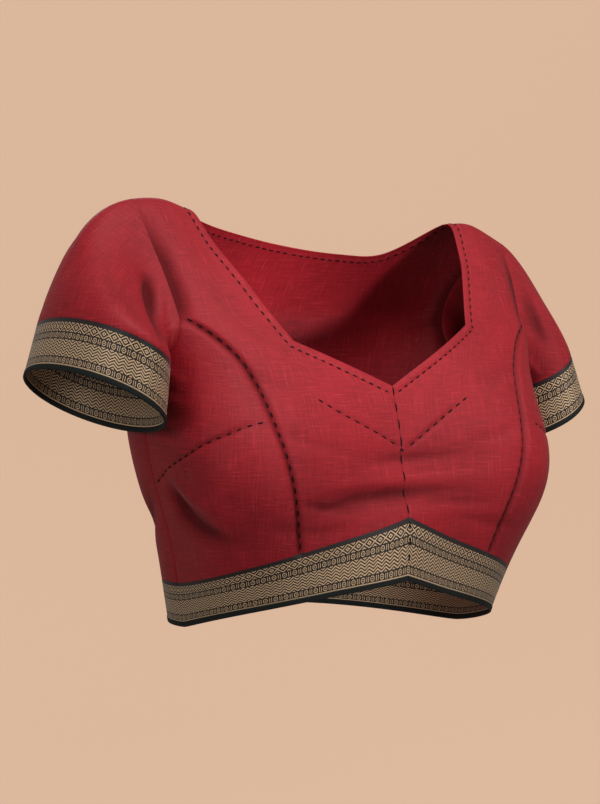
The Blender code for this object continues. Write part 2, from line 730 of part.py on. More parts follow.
def tube_normals(side, rings):
    """Outward directions of rings of points, evened out round each ring because the sleeve turns back
    sharply where it leaves the underarm."""
    along = np.gradient(rings, axis=0)
    around = np.roll(rings, -1, axis=1) - np.roll(rings, 1, axis=1)
    normals = side * unit(np.cross(around, along))
    for _ in range(EVENING_PASSES):
        normals = unit(np.roll(normals, 1, axis=1) + 2 * normals + np.roll(normals, -1, axis=1))
    return normals


def edge_strips(low_edge, top):
    """Nets of the border above the bound edge and of the edge itself, from the hem's places to the border's
    top."""
    low = low_edge(EDGE_WIDTH)
    steps = np.linspace(0, 1, BORDER_ROWS + 1)[:, None, None]
    return (1 - steps) * low + steps * top, np.stack([low_edge(0.0), low])


def front_pieces(side, red, brocade, dark):
    """The two panels of one half of the front, with the border and the bound edge below them."""
    name, flip, line = NAME_OF[side], side == RIGHT, LINES[side]
    cloth("front_centre_" + name, *front_centre(side), RED_CLOTH, red, flip=flip)
    cloth("front_side_" + name, *front_side(side), RED_CLOTH, red, flip=flip)
    top = joined(line["border_inner"], line["border_outer"])
    border, edge = edge_strips(lambda above: front_edge(side, HEM, HEM_POWER, top[:, 1], above), top)
    cloth("hem_border_front_" + name, *panel(side, border), BORDER_CLOTH, brocade, flip=flip)
    cloth("hem_edge_front_" + name, *panel(side, edge), EDGE_CLOTH, dark, flip=flip, proud=EDGE_PROUD)


def back_pieces(red, brocade, dark):
    cloth("back", *back_panel(), RED_CLOTH, red, flip=True)
    angles = np.linspace(-SIDE_SEAM, SIDE_SEAM, BACK_COLUMNS + 1)
    top = back_edge(BORDER_TOP, angles)
    border, edge = edge_strips(lambda above: back_edge(HEM, angles, above), top)
    cloth("hem_border_back", *both_sides(border), BORDER_CLOTH, brocade, flip=True)
    cloth("hem_edge_back", *both_sides(edge), EDGE_CLOTH, dark, flip=True, proud=EDGE_PROUD)


def sleeve_pieces(side, red, brocade, dark):
    """One sleeve with its border and its bound edge, as three tubes end to end."""
    name, flip = NAME_OF[side], side == RIGHT
    sleeve, border, edge = sleeve_sections(side)
    normals = tube_normals(side, np.concatenate([sleeve, border[1:], edge[1:]]))
    at_border, at_edge = len(sleeve) - 1, len(sleeve) + len(border) - 2
    cloth("sleeve_" + name, sleeve, normals[: at_border + 1], RED_CLOTH, red, tube=True, flip=flip)
    between = normals[at_border : at_edge + 1]
    cloth("sleeve_border_" + name, border, between, BORDER_CLOTH, brocade, tube=True, flip=flip)
    last = normals[at_edge:]
    cloth("sleeve_edge_" + name, edge, last, EDGE_CLOTH, dark, tube=True, flip=flip, proud=EDGE_PROUD)


def main():
    for obj in list(bpy.data.objects):
        bpy.data.objects.remove(obj)
    looks = [material(*row) for row in MATERIALS]
    back_pieces(*looks)
    for side in (LEFT, RIGHT):
        front_pieces(side, *looks)
        sleeve_pieces(side, *looks)


main()
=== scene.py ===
"""Looks of the saree blouse: red slub silk with princess seams and dark topstitching, zari borders and dark
bound edges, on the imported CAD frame. Metres, +Z up, the wearer faces -Y and the wearer's left is +X."""

import math

import bpy
import numpy as np
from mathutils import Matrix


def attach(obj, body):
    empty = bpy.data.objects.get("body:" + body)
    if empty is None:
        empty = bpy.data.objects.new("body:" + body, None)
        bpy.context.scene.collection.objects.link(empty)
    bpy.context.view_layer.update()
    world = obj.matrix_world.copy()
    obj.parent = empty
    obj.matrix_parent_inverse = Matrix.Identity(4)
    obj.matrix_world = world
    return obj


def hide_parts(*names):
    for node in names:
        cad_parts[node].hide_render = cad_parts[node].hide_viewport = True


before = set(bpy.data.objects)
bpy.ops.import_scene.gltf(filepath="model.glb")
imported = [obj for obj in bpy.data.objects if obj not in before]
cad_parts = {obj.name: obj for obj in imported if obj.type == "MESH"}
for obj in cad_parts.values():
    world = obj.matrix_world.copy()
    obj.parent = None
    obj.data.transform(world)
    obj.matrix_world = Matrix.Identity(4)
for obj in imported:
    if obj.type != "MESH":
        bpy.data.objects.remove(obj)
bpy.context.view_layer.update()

# Back. One panel of red slub silk without a seam, cut from side seam to side seam and scooped low at the
# neck. It is sewn to the fronts at the side and shoulder seams, and keeps the round of the body that has
# worn it.

LEFT, RIGHT = 1, -1
SIDES = (LEFT, RIGHT)
NAME_OF = {LEFT: "left", RIGHT: "right"}
SIDE_SEAM = math.pi / 2
SILK = 0.0009
# Panels reach over their seam lines, and their edges are rounded by these shares of the cloth's thickness.
SEAM_OVERLAP = 0.0003
EDGE_DRAWN_IN, EDGE_EASED = 0.22, 0.12

# The worn form from the hem up to the shoulder seam: height, half width, depth before and behind the
# shoulder line, place of the side seam, and how square the section is in front and behind.
LEVELS = (
    (-0.315, 0.1258, 0.0940, 0.0800, -0.005, 2.50, 2.20),
    (-0.278, 0.1322, 0.0960, 0.0800, -0.005, 2.60, 2.25),
    (-0.241, 0.1390, 0.0980, 0.0820, -0.005, 2.60, 2.30),
    (-0.205, 0.1505, 0.1020, 0.0850, -0.005, 2.50, 2.35),
    (-0.170, 0.1595, 0.1010, 0.0890, -0.005, 2.45, 2.40),
    (-0.135, 0.1640, 0.0930, 0.0910, -0.004, 2.60, 2.45),
    (-0.100, 0.1720, 0.0810, 0.0900, -0.003, 2.90, 2.50),
    (-0.068, 0.1890, 0.0605, 0.0800, -0.002, 3.30, 2.60),
    (-0.038, 0.2010, 0.0400, 0.0590, -0.001, 3.80, 2.80),
    (-0.014, 0.2080, 0.0205, 0.0330, 0.000, 4.00, 3.00),
    (0.003, 0.2100, 0.0000, 0.0000, 0.000, 4.00, 3.00),
)
TOP = len(LEVELS) - 1
CUP_DEPTH, CUP_OUT, CUP_HEIGHT = 0.033, 0.120, -0.190
CUP_SPREAD_IN, CUP_SPREAD_OUT, CUP_SPREAD_UP, CUP_SPREAD_DOWN = 0.072, 0.060, 0.078, 0.080
CUP_TURN = math.radians(34)
CUP_FADE_AT_SIDE, CUP_FADE_AT_CENTRE = 0.6, 0.5
RIDGE_DEPTH, RIDGE_HALF_WIDTH, RIDGE_FROM, RIDGE_TO = 0.014, 0.042, -0.180, -0.245
# How much higher the shoulder seam stands going out: distance out, wearer's right, wearer's left.
SHOULDER = (
    (0.080, 0.0000, 0.0000),
    (0.100, 0.0000, 0.0000),
    (0.120, 0.0014, 0.0006),
    (0.140, 0.0078, 0.0016),
    (0.160, 0.0090, -0.0058),
    (0.180, 0.0060, -0.0150),
    (0.200, 0.0000, -0.0260),
)
SHOULDER_FADE = 3.0
BACK_ARMHOLE = ((0.1690, -0.1120), (0.1610, -0.0940), (0.1580, -0.0670), (0.1630, -0.0330), (0.1720, 0.0030))
BACK_NECK = (
    (-0.1205, 0.0030),
    (-0.0904, -0.0042),
    (-0.0603, -0.0095),
    (-0.0301, -0.0140),
    (0.0000, -0.0175),
    (0.0301, -0.0200),
    (0.0603, -0.0213),
    (0.0904, -0.0180),
    (0.1205, 0.0030),
)
# Heights of the border's top at the right and left side seams, at the centre front and at the centre back.
BORDER_TOP = (-0.2720, -0.2780, -0.2230, -0.2640)

# Creases of the bodice: three places as degrees from the centre line (negative on the wearer's right) and
# heights, then how far the cloth is pushed out and how wide the crease is. The large ones come first.
FRONT_CREASES = (
    (-34, -0.2235, -4, -0.2045, 33, -0.2090, -0.0026, 0.0100),
    (-30, -0.2000, 0, -0.1935, 30, -0.1950, 0.0014, 0.0100),
    (-16, -0.1850, 6, -0.1800, 30, -0.1770, -0.0016, 0.0090),
    (-79, -0.1980, -72, -0.2240, -48, -0.2440, -0.0038, 0.0100),
    (88, -0.1860, 79, -0.2240, 58, -0.2430, -0.0022, 0.0110),
    (-86, -0.1350, -73, -0.1480, -58, -0.1500, -0.0022, 0.0100),
    (84, -0.1340, 70, -0.1500, 57, -0.1580, -0.0018, 0.0090),
    (-28, -0.2205, -5, -0.2058, 24, -0.2068, -0.0016, 0.0038),
    (-12, -0.1838, 6, -0.1788, 27, -0.1752, -0.0009, 0.0030),
    (-11, -0.1928, 8, -0.1897, 25, -0.1874, -0.0009, 0.0034),
    (-26, -0.2030, -12, -0.1985, 3, -0.1962, 0.0010, 0.0040),
    (5, -0.2120, 17, -0.2125, 30, -0.2150, -0.0011, 0.0036),
    (-32, -0.2110, -24, -0.2160, -12, -0.2185, -0.0012, 0.0034),
    (-78, -0.2030, -71, -0.2250, -48, -0.2430, -0.0026, 0.0048),
    (-80, -0.1800, -68, -0.2080, -50, -0.2280, 0.0014, 0.0060),
    (-80, -0.2010, -70, -0.2160, -55, -0.2230, -0.0009, 0.0034),
    (86, -0.1900, 78, -0.2160, 60, -0.2350, -0.0015, 0.0038),
    (80, -0.2050, 70, -0.2200, 52, -0.2260, -0.0009, 0.0036),
    (-79, -0.1140, -70, -0.1300, -58, -0.1330, -0.0010, 0.0040),
    (-84, -0.1480, -75, -0.1620, -66, -0.1640, -0.0012, 0.0044),
    (-70, -0.1020, -66, -0.1180, -60, -0.1230, 0.0008, 0.0040),
    (80, -0.1180, 72, -0.1320, 62, -0.1390, -0.0010, 0.0040),
    (-71, -0.0560, -62, -0.0640, -48, -0.0660, -0.0010, 0.0060),
    (-68, -0.0700, -58, -0.0820, -46, -0.0880, 0.0009, 0.0060),
    (69, -0.0600, 60, -0.0700, 47, -0.0730, -0.0010, 0.0055),
    (-44, -0.1130, -34, -0.1240, -20, -0.1300, -0.0007, 0.0060),
    (42, -0.1060, 30, -0.1190, 17, -0.1270, -0.0007, 0.0055),
    (-38, -0.1560, -24, -0.1700, -8, -0.1790, -0.0008, 0.0050),
    (36, -0.1530, 24, -0.1640, 10, -0.1740, -0.0008, 0.0046),
    (-46, -0.2260, -30, -0.2330, -12, -0.2290, -0.0009, 0.0050),
    (14, -0.2240, 28, -0.2290, 44, -0.2350, -0.0009, 0.0046),
)
BACK_CREASES = (
    (-88, -0.1940, -66, -0.2260, -38, -0.2370, -0.0024, 0.0110),
    (-46, -0.2110, -6, -0.2240, 40, -0.2130, -0.0026, 0.0120),
    (-20, -0.1860, 22, -0.1960, 62, -0.1800, 0.0018, 0.0120),
    (-74, -0.1250, -52, -0.1490, -26, -0.1540, -0.0024, 0.0110),
    (79, -0.1300, 61, -0.1600, 30, -0.1680, -0.0026, 0.0120),
    (-34, -0.0640, 2, -0.0800, 30, -0.0740, -0.0018, 0.0120),
    (-40, -0.2200, -10, -0.2290, 24, -0.2210, -0.0013, 0.0040),
    (-8, -0.2060, 16, -0.2120, 47, -0.2010, -0.0011, 0.0036),
    (-60, -0.2010, -44, -0.2140, -20, -0.2160, -0.0010, 0.0040),
    (-82, -0.2060, -66, -0.2340, -48, -0.2440, -0.0013, 0.0044),
    (84, -0.2000, 70, -0.2270, 50, -0.2360, -0.0012, 0.0040),
    (-70, -0.1330, -54, -0.1560, -34, -0.1620, -0.0013, 0.0042),
    (-62, -0.1160, -48, -0.1330, -30, -0.1380, -0.0009, 0.0046),
    (74, -0.1400, 58, -0.1680, 36, -0.1750, -0.0013, 0.0044),
    (66, -0.1210, 52, -0.1410, 30, -0.1500, -0.0009, 0.0050),
    (-26, -0.0700, 0, -0.0860, 24, -0.0820, -0.0009, 0.0046),
    (-66, -0.0500, -50, -0.0660, -34, -0.0680, -0.0010, 0.0060),
    (64, -0.0520, 50, -0.0700, 36, -0.0760, -0.0010, 0.0056),
    (-10, -0.1300, -2, -0.1700, -8, -0.2050, -0.0007, 0.0060),
    (12, -0.1180, 8, -0.1480, 14, -0.1760, 0.0006, 0.0070),
    (-32, -0.2420, -12, -0.2480, 12, -0.2440, -0.0008, 0.0044),
    (20, -0.2380, 38, -0.2420, 56, -0.2500, -0.0008, 0.0042),
)
CREASE_STEPS = 60
# A crease is left out beyond this many of its half widths.
CREASE_REACH = 3.5
# A sewn seam draws the cloth in along a narrow valley.
SEAM_SINK, SEAM_HALF_WIDTH = -0.0006, 0.0015
# The armhole also lies in a wide soft hollow, where the sleeve hangs down from the shoulder. It fades out
# over these shares of the armhole's two halves, towards the shoulder.
ARMHOLE_SINK, ARMHOLE_HALF_WIDTH = -0.0046, 0.0088
FRONT_ARMHOLE_FADE, BACK_ARMHOLE_FADE = 0.65, 0.45
# The neck's folded edge is doubled as far as its row of stitches, which pulls the cloth down.
FOLDED_EDGE = 0.0062
FOLD_RISE, FOLD_HALF_WIDTH = 0.0005, 0.0030
STITCH_SINK, STITCH_HALF_WIDTH = -0.0006, 0.0012

BACK_COLUMNS, SHOULDER_COLUMNS, UPPER_ARMHOLE_ROWS, SIDE_ARMHOLE_STEPS = 260, 46, 50, 52
BACK_ARMHOLE_ROWS, SIDE_SEAM_ROWS = 78, 100
LINE_STEPS = 400
HALVINGS = 40
SMALL_STEP = 1e-3
UPWARD = np.array([0.0, 0.0, 1.0])
SHARPEST_FOLD = math.radians(30)


def slopes(values):
    """Slope at each evenly spaced value of the smoothest curve through them."""
    count = len(values)
    weights = 4 * np.eye(count) + np.eye(count, k=1) + np.eye(count, k=-1)
    weights[0, 0] = weights[-1, -1] = 2
    rises = np.empty(count)
    rises[1:-1] = 3 * (values[2:] - values[:-2])
    rises[0] = 3 * (values[1] - values[0])
    rises[-1] = 3 * (values[-1] - values[-2])
    return np.linalg.solve(weights, rises)


def bend(t, start, leave, end, arrive):
    """The curve from start to end with the given slopes at both, where t runs from 0 to 1."""
    square, cube = t * t, t * t * t
    return (
        (2 * cube - 3 * square + 1) * start
        + (cube - 2 * square + t) * leave
        + (3 * square - 2 * cube) * end
        + (cube - square) * arrive
    )


def smooth(values, at):
    """The curve through evenly spaced values, read at the fractional place at."""
    slope = slopes(values)
    low = np.clip(np.floor(at).astype(int), 0, len(values) - 2)
    return bend(at - low, values[low], slope[low], values[low + 1], slope[low + 1])


def curve_through(rows, steps):
    """Each column of a table as a smooth curve through its rows."""
    at = np.linspace(0, len(rows) - 1, steps)
    return [smooth(column, at) for column in np.transpose(rows)]


def ease(value, low, high):
    """0 below low, 1 above high, and a smooth step between."""
    t = np.clip((value - low) / (high - low), 0, 1)
    return t * t * (3 - 2 * t)


def unit(vectors):
    return vectors / np.linalg.norm(vectors, axis=-1, keepdims=True)


def over_shoulder():
    """The level columns laid end to end: up the front, over the shoulder seam and down the back."""
    height, half_width, front, back, side, front_square, back_square = np.transpose(LEVELS)
    halves = {
        "height": (height, height),
        "half_width": (half_width, half_width),
        "side": (side, side),
        "depth": (-front, back),
        "square": (front_square, back_square),
    }
    return {name: np.concatenate([up, down[-2::-1]]) for name, (up, down) in halves.items()}


FORM = over_shoulder()


def cups(x, z):
    """How far the two cups push the front out at a place on it."""
    total = 0.0
    for centre in (CUP_OUT, -CUP_OUT):
        away = x - centre
        across = away / np.where(away * np.sign(centre) > 0, CUP_SPREAD_OUT, CUP_SPREAD_IN)
        up = (z - CUP_HEIGHT) / np.where(z > CUP_HEIGHT, CUP_SPREAD_UP, CUP_SPREAD_DOWN)
        total = total + np.exp(-across * across - up * up)
    return CUP_DEPTH * total


def ridge(x, z):
    """How far the centre seam stands forward."""
    return RIDGE_DEPTH * np.exp(-((x / RIDGE_HALF_WIDTH) ** 2)) * ease(z, RIDGE_FROM, RIDGE_TO)


def shoulder_rise(side, out):
    """How far the shoulder seam stands above its height nearer the neck."""
    at = np.clip((out - SHOULDER[0][0]) / (SHOULDER[1][0] - SHOULDER[0][0]), 0, len(SHOULDER) - 1)
    return smooth(np.transpose(SHOULDER)[1 if side == RIGHT else 2], at)


def worn_form(side, place):
    """Points of the bodice without its creases. A place is a pair: the way from 0 at the front hem over the
    shoulder seam at TOP to the back hem, and the angle from 0 at the centre line to SIDE_SEAM."""
    way, angle = np.moveaxis(np.asarray(place, float), -1, 0)
    row = {name: smooth(column, way) for name, column in FORM.items()}
    cosine, sine = np.cos(angle), np.sin(angle)
    power = row["square"]
    reach = (np.abs(cosine) ** power + np.abs(sine) ** power) ** (-1 / power)
    across, out = sine * reach, cosine * reach
    x = side * row["half_width"] * across
    y = row["side"] + (row["depth"] - row["side"]) * out
    z = row["height"]
    push = np.where(way < TOP, cups(x, z) * ease(out, 0.0, CUP_FADE_AT_SIDE), 0.0)
    z = z + shoulder_rise(side, np.abs(x)) * ease(TOP - np.abs(way - TOP), TOP - SHOULDER_FADE, TOP)
    x = x + side * push * np.sin(CUP_TURN) * ease(across, 0.0, CUP_FADE_AT_CENTRE)
    y = y - push * np.cos(CUP_TURN) - np.where(way < TOP, ridge(x, z), 0.0)
    return np.stack([x, y, z], axis=-1)


def form_slopes(side, place):
    """How the form's points move for each step along the way and round the body."""
    moves = [worn_form(side, place + step) - worn_form(side, place - step) for step in SMALL_STEP * np.eye(2)]
    return np.array(moves) / (2 * SMALL_STEP)


def out_of_form(side, place):
    along, around = form_slopes(side, place)
    return side * unit(np.cross(around, along))


def way_at(height, front=True):
    """The place over the shoulder where the form has that height."""
    low, high = np.zeros_like(height), np.full_like(height, TOP)
    for _ in range(HALVINGS):
        middle = (low + high) / 2
        below = smooth(FORM["height"], middle) < height
        low, high = np.where(below, middle, low), np.where(below, high, middle)
    return low if front else 2 * TOP - low


def places(out, height, front=True):
    """Places of points given as distances from the centre line and heights."""
    way = way_at(np.asarray(height, float), front)
    width, power = smooth(FORM["half_width"], way), smooth(FORM["square"], way)
    share = np.clip(np.asarray(out, float) / width, 0, 1)
    return np.stack([way, np.arctan2(share, (1 - share**power) ** (1 / power))], axis=-1)


def pattern_line(rows, front=True):
    """Many places along the smooth line through a table's rows."""
    return places(*curve_through(rows, LINE_STEPS), front)


def length_along(points):
    """Length from the first point of a line to each."""
    return np.concatenate([[0], np.cumsum(np.linalg.norm(np.diff(points, axis=0), axis=1))])


def read_at(at, length, rows):
    """Rows that stand at given lengths, read at others."""
    return np.stack([np.interp(at, length, column) for column in rows.T], axis=-1)


def evenly(side, line, count):
    """count steps of equal length along a line of places."""
    length = length_along(worn_form(side, line))
    return read_at(np.linspace(0, length[-1], count + 1), length, line)


def joined(*lines):
    """Lines of places end to end, with their common ends once."""
    return np.concatenate([lines[0]] + [line[1:] for line in lines[1:]])


def behind(line):
    """The places over the shoulder from a line on a side or shoulder seam, which front and back share."""
    return (2 * TOP, 0) + line * (-1, 1)


def signed(side, line):
    """Places with the angle negative on the wearer's right, so that one net can cross the back."""
    return line * (1, side)


def back_edge(heights, angle, above=0.0):
    """Places on an edge across the back, where the angle is negative on the wearer's right."""
    right, left, _, centre = heights
    low = (right + left) / 2 + (left - right) / 2 * np.sin(angle)
    height = low + (centre - (right + left) / 2) * np.cos(angle) ** 2
    return np.stack([way_at(height + above, front=False), angle], axis=-1)


def net_between(bottom, top, left, right):
    """A net of places inside four edges that share their corners."""
    u = np.linspace(0, 1, len(bottom))[:, None]
    v = ((left[:, 0] - left[0, 0]) / (left[-1, 0] - left[0, 0]))[:, None, None]
    straight_bottom = (1 - u) * bottom[0] + u * bottom[-1]
    straight_top = (1 - u) * top[0] + u * top[-1]
    sides = (1 - u) * left[:, None] + u * right[:, None]
    return sides + (1 - v) * (bottom - straight_bottom) + v * (top - straight_top)


def through(three):
    """Steps along the curve through three pairs of numbers, and how much of a crease there is at each."""
    first, middle, last = np.reshape(three, (3, 2))
    t = (np.arange(CREASE_STEPS) + 0.5)[:, None] / CREASE_STEPS
    pull = 2 * middle - (first + last) / 2
    return (1 - t) ** 2 * first + 2 * t * (1 - t) * pull + t**2 * last, np.sin(math.pi * t[:, 0])


def crease_push(points, line, strength, push, half_width):
    """How far one crease, or one sewn line, pushes points out."""
    flat = points.reshape(-1, 3)
    reach = CREASE_REACH * half_width
    near = np.all((flat > line.min(axis=0) - reach) & (flat < line.max(axis=0) + reach), axis=1)
    pushed = np.zeros(len(flat))
    away = np.sum(flat[near] ** 2, axis=1)[:, None] + np.sum(line**2, axis=1) - 2 * flat[near] @ line.T
    step = np.linalg.norm(np.diff(line, axis=0), axis=1).mean()
    pushed[near] = np.exp(-away / half_width**2) @ strength * push * step / (half_width * math.sqrt(math.pi))
    return pushed.reshape(points.shape[:-1])


def bodice_creases(table, front):
    creases = []
    for *three, push, half_width in table:
        line, strength = through(three)
        turn = np.radians(line[:, :1])
        place = np.concatenate([way_at(line[:, 1:], front), np.abs(turn)], axis=1)
        right, left = (worn_form(side, place) for side in (RIGHT, LEFT))
        creases.append((np.where(turn < 0, right, left), strength, push, half_width))
    return creases


def sewn_line(side, line, push=SEAM_SINK, half_width=SEAM_HALF_WIDTH, fade_in=0.0, fade_out=0.0):
    """A line of places as a crease of even depth, which can fade over a share of its length at each end."""
    share, strength = np.linspace(0, 1, len(line)), np.ones(len(line))
    for fade, from_end in ((fade_in, share), (fade_out, share[::-1])):
        if fade:
            strength = strength * ease(from_end, 0, fade)
    return worn_form(side, line), strength, push, half_width


def leftward(normals, before, after):
    """A move of 1 to the left of a bending line, from its directions before and after each point."""
    first, second = unit(np.cross(normals, before)), unit(np.cross(normals, after))
    return (first + second) / (1 + np.sum(first * second, axis=1, keepdims=True))


def beside(side, line, distance):
    """The line of places beside another, on the left of its way seen from outside the wearer's left half."""
    points = worn_form(side, line)
    before = unit(points - np.concatenate([2 * points[:1] - points[1:2], points[:-1]]))
    after = unit(np.concatenate([points[1:], 2 * points[-1:] - points[-2:-1]]) - points)
    move = distance * side * leftward(out_of_form(side, line), before, after)
    both_ways = np.stack(form_slopes(side, line), axis=1)
    square, onto = both_ways @ both_ways.transpose(0, 2, 1), both_ways @ move[..., None]
    return line + np.linalg.solve(square, onto)[..., 0]


def dressed(side, place, creases):
    """Points of the bodice with its creases, each with how far it was pushed out as a fourth number."""
    points = worn_form(side, place)
    push = sum(crease_push(points, *crease) for crease in creases)[..., None]
    return np.concatenate([points + push * out_of_form(side, place), push], axis=-1)


def net_normals(points, side, tube=False):
    """Outward directions of a net of points whose columns run round the wearer's left half."""
    points = points[..., :3]
    along = np.gradient(points, axis=0)
    around = np.roll(points, -1, axis=1) - np.roll(points, 1, axis=1) if tube else np.gradient(points, axis=1)
    return side * unit(np.cross(around, along))


def laid_flat(points, normals, start):
    """Distances along the weft and the warp of each point of a net, followed over the cloth along the net's
    columns from a start row, where the warp runs upward."""
    points = points[..., :3]
    flat = np.zeros((*points.shape[:2], 2))

    def threads(row, warp):
        warp = unit(warp - np.sum(warp * normals[row], axis=-1, keepdims=True) * normals[row])
        return np.cross(warp, normals[row]), warp

    start_threads = threads(start, np.broadcast_to(UPWARD, points[start].shape))
    step = np.diff(points[start], axis=0)
    for i, thread in enumerate(start_threads):
        flat[start, 1:, i] = np.cumsum(np.sum(step * (thread[1:] + thread[:-1]) / 2, axis=1))
    for way in (1, -1):
        both = start_threads
        row = start + way
        while 0 <= row < len(points):
            both = threads(row, both[1])
            step = points[row] - points[row - way]
            for i, thread in enumerate(both):
                flat[row, :, i] = flat[row - way, :, i] + np.sum(step * thread, axis=1)
            row += way
    return flat


def inset(loop, normals, by):
    """A closed loop of points moved in its surface by a distance, to its left seen from outside."""
    before = unit(loop - np.roll(loop, 1, axis=0))
    return loop + by * leftward(normals, before, np.roll(before, -1, axis=0))


def perimeter(rows, columns):
    """Row and column of each point on a net's edge, anticlockwise when the first row is at the bottom."""
    bottom = [(0, c) for c in range(columns - 1)]
    right = [(r, columns - 1) for r in range(rows - 1)]
    top = [(rows - 1, c) for c in range(columns - 1, 0, -1)]
    left = [(r, 0) for r in range(rows - 1, 0, -1)]
    return np.array(bottom + right + top + left)


def into_scene(name, data):
    made = bpy.data.objects.new(name, data)
    bpy.context.scene.collection.objects.link(made)
    return made


def smooth_mesh(name, vertices, faces, look):
    mesh = bpy.data.meshes.new(name)
    mesh.from_pydata(vertices, [], faces)
    mesh.shade_smooth()
    mesh.materials.append(look)
    return mesh


def cloth(name, points, normals, cut, thickness, look, tube=False, flip=False):
    """One piece of cloth as a thin closed wall with rounded edges. cut gives each point's place on the flat
    cloth, with one more column than points has on a tube."""
    rows, columns = points.shape[:2]
    points, pressed = points[..., :3], points[..., 3]
    edges = [perimeter(rows, columns)]
    if tube:
        edges = [np.array([(row, c) for c in range(columns)][::way]) for row, way in ((0, 1), (rows - 1, -1))]
    if flip:
        edges = [edge[::-1] for edge in edges]
    outer, inner, rims = points.copy(), points - thickness * normals, []
    for edge in edges:
        r, c = edge.T
        rims.append(inset(points[r, c], normals[r, c], -SEAM_OVERLAP / 2) - thickness / 2 * normals[r, c])
        drawn_in = EDGE_DRAWN_IN * thickness - SEAM_OVERLAP / 2
        outer[r, c] = inset(points[r, c], normals[r, c], drawn_in) - EDGE_EASED * thickness * normals[r, c]
        inner[r, c] = outer[r, c] - (1 - 2 * EDGE_EASED) * thickness * normals[r, c]
    vertices = np.concatenate([outer.reshape(-1, 3), inner.reshape(-1, 3)] + rims)
    hollows = np.concatenate([pressed.reshape(-1)] * 2 + [pressed[edge[:, 0], edge[:, 1]] for edge in edges])
    last = columns if tube else columns - 1
    r, c = np.meshgrid(np.arange(rows - 1), np.arange(last), indexing="ij")
    corner_row = np.stack([r, r, r + 1, r + 1], axis=-1).reshape(-1, 4)
    corner_column = np.stack([c, c + 1, c + 1, c], axis=-1).reshape(-1, 4)
    if flip:
        corner_row, corner_column = corner_row[:, ::-1], corner_column[:, ::-1]
    face = corner_row * columns + corner_column % columns
    flat = cut[corner_row, corner_column]
    faces, flats = [face, face[:, ::-1] + rows * columns], [flat, flat[:, ::-1]]
    start = 2 * rows * columns
    for edge in edges:
        r, c = edge.T
        at, rim = r * columns + c, start + np.arange(len(edge))
        after, after_rim = np.roll(at, -1), np.roll(rim, -1)
        faces.append(np.stack([after, at, rim, after_rim], axis=-1))
        faces.append(np.stack([after_rim, rim, at + rows * columns, after + rows * columns], axis=-1))
        here = cut[r, c]
        there = np.roll(here, -1, axis=0)
        if tube:
            there[-1] = here[-1]
        flats += [np.stack([there, here, here, there], axis=1)] * 2
        start += len(edge)
    mesh = smooth_mesh(name, vertices.tolist(), np.concatenate(faces).tolist(), look)
    mesh.uv_layers.new(name="cut").data.foreach_set("uv", np.concatenate(flats).reshape(-1))
    mesh.attributes.new("pushed", "FLOAT", "POINT").data.foreach_set("value", hollows)
    mesh.set_sharp_from_angle(angle=SHARPEST_FOLD)
    return into_scene(name, mesh)


def linear(code):
    """The linear colour of an sRGB hex value."""
    parts = [int(code[i : i + 2], 16) / 255 for i in (0, 2, 4)]
    return (*(p / 12.92 if p <= 0.04045 else ((p + 0.055) / 1.055) ** 2.4 for p in parts), 1)


def fill(tree, node, sockets):
    """Fills a node's sockets, named or in order, with values or with other nodes."""
    for place, value in sockets.items() if isinstance(sockets, dict) else enumerate(sockets):
        if isinstance(value, bpy.types.Node):
            value = next(socket for socket in value.outputs if socket.enabled)
        if isinstance(value, bpy.types.NodeSocket):
            tree.links.new(value, node.inputs[place])
        else:
            node.inputs[place].default_value = value


def add(tree, kind, sockets=(), **settings):
    """Adds a node with its settings and fills its sockets."""
    made = tree.nodes.new("ShaderNode" + kind)
    for name, value in settings.items():
        setattr(made, name, value)
    fill(tree, made, sockets)
    return made


def surface(name, **values):
    """A material with its shader's own values."""
    made = bpy.data.materials.new(name)
    made.use_nodes = True
    shader = made.node_tree.nodes["Principled BSDF"]
    for socket, value in values.items():
        shader.inputs[socket.replace("_", " ")].default_value = value
    return made, made.node_tree, shader


# Slub silk, handloomed and vat dyed: uneven threads leave thicker, paler flecks both ways, the weave glints
# softly where the cloth turns, and the dye has taken a little unevenly, in patches of about 60 mm. Slubs are
# 10 to 30 mm long, so the streaks are 22 mm. The threads are 0.3 mm apart, too fine to show, so the weave is
# drawn 1.4 mm apart.
SILK_DYE, SILK_SLUB = linear("aa1d29"), linear("bd434d")
# The last colour here is painted shade, mixed into the cloth by how deep it lies in a crease; the others are
# the silk's own.
SILK_DEEP, SILK_PAINTED_SHADE = linear("75101a"), linear("3c0709")
DEEP_CREASE, NO_CREASE = -0.0038, -0.0002
red_silk, tree, shader = surface(
    "red slub silk, handloomed and vat dyed",
    Specular_IOR_Level=0.24,
    Sheen_Weight=0.05,
    Sheen_Roughness=0.4,
    Sheen_Tint=linear("f0b0a8"),
)
flat_cloth = add(tree, "TexCoord").outputs["UV"]
streaks = []
for scale in ((46, 700, 1), (700, 42, 1)):
    along_thread = add(tree, "Mapping", {"Vector": flat_cloth, "Scale": scale})
    uneven = {"Vector": along_thread, "Scale": 1.0, "Detail": 3.0, "Roughness": 0.7}
    streaks.append(add(tree, "TexNoise", uneven))
crossed = add(tree, "Math", streaks, operation="ADD")
woven = add(tree, "MapRange", (crossed, 0.78, 1.22, 0.0, 1.0))
slub = add(tree, "Math", streaks, operation="MAXIMUM")
slub = add(tree, "MapRange", (slub, 0.60, 0.82, 0.0, 0.60))
patchy = add(tree, "TexNoise", {"Vector": flat_cloth, "Scale": 16.0, "Detail": 2.0})
cloud = add(tree, "MapRange", (patchy, 0.3, 0.7, -0.14, 0.14))
taken = add(tree, "Math", (woven, 0.55, 0.28), operation="MULTIPLY_ADD")
taken = add(tree, "Math", (taken, cloud), operation="ADD", use_clamp=True)
coloured = add(tree, "Mix", {0: taken, 6: SILK_DEEP, 7: SILK_DYE}, data_type="RGBA")
coloured = add(tree, "Mix", {0: slub, 6: coloured, 7: SILK_SLUB}, data_type="RGBA")
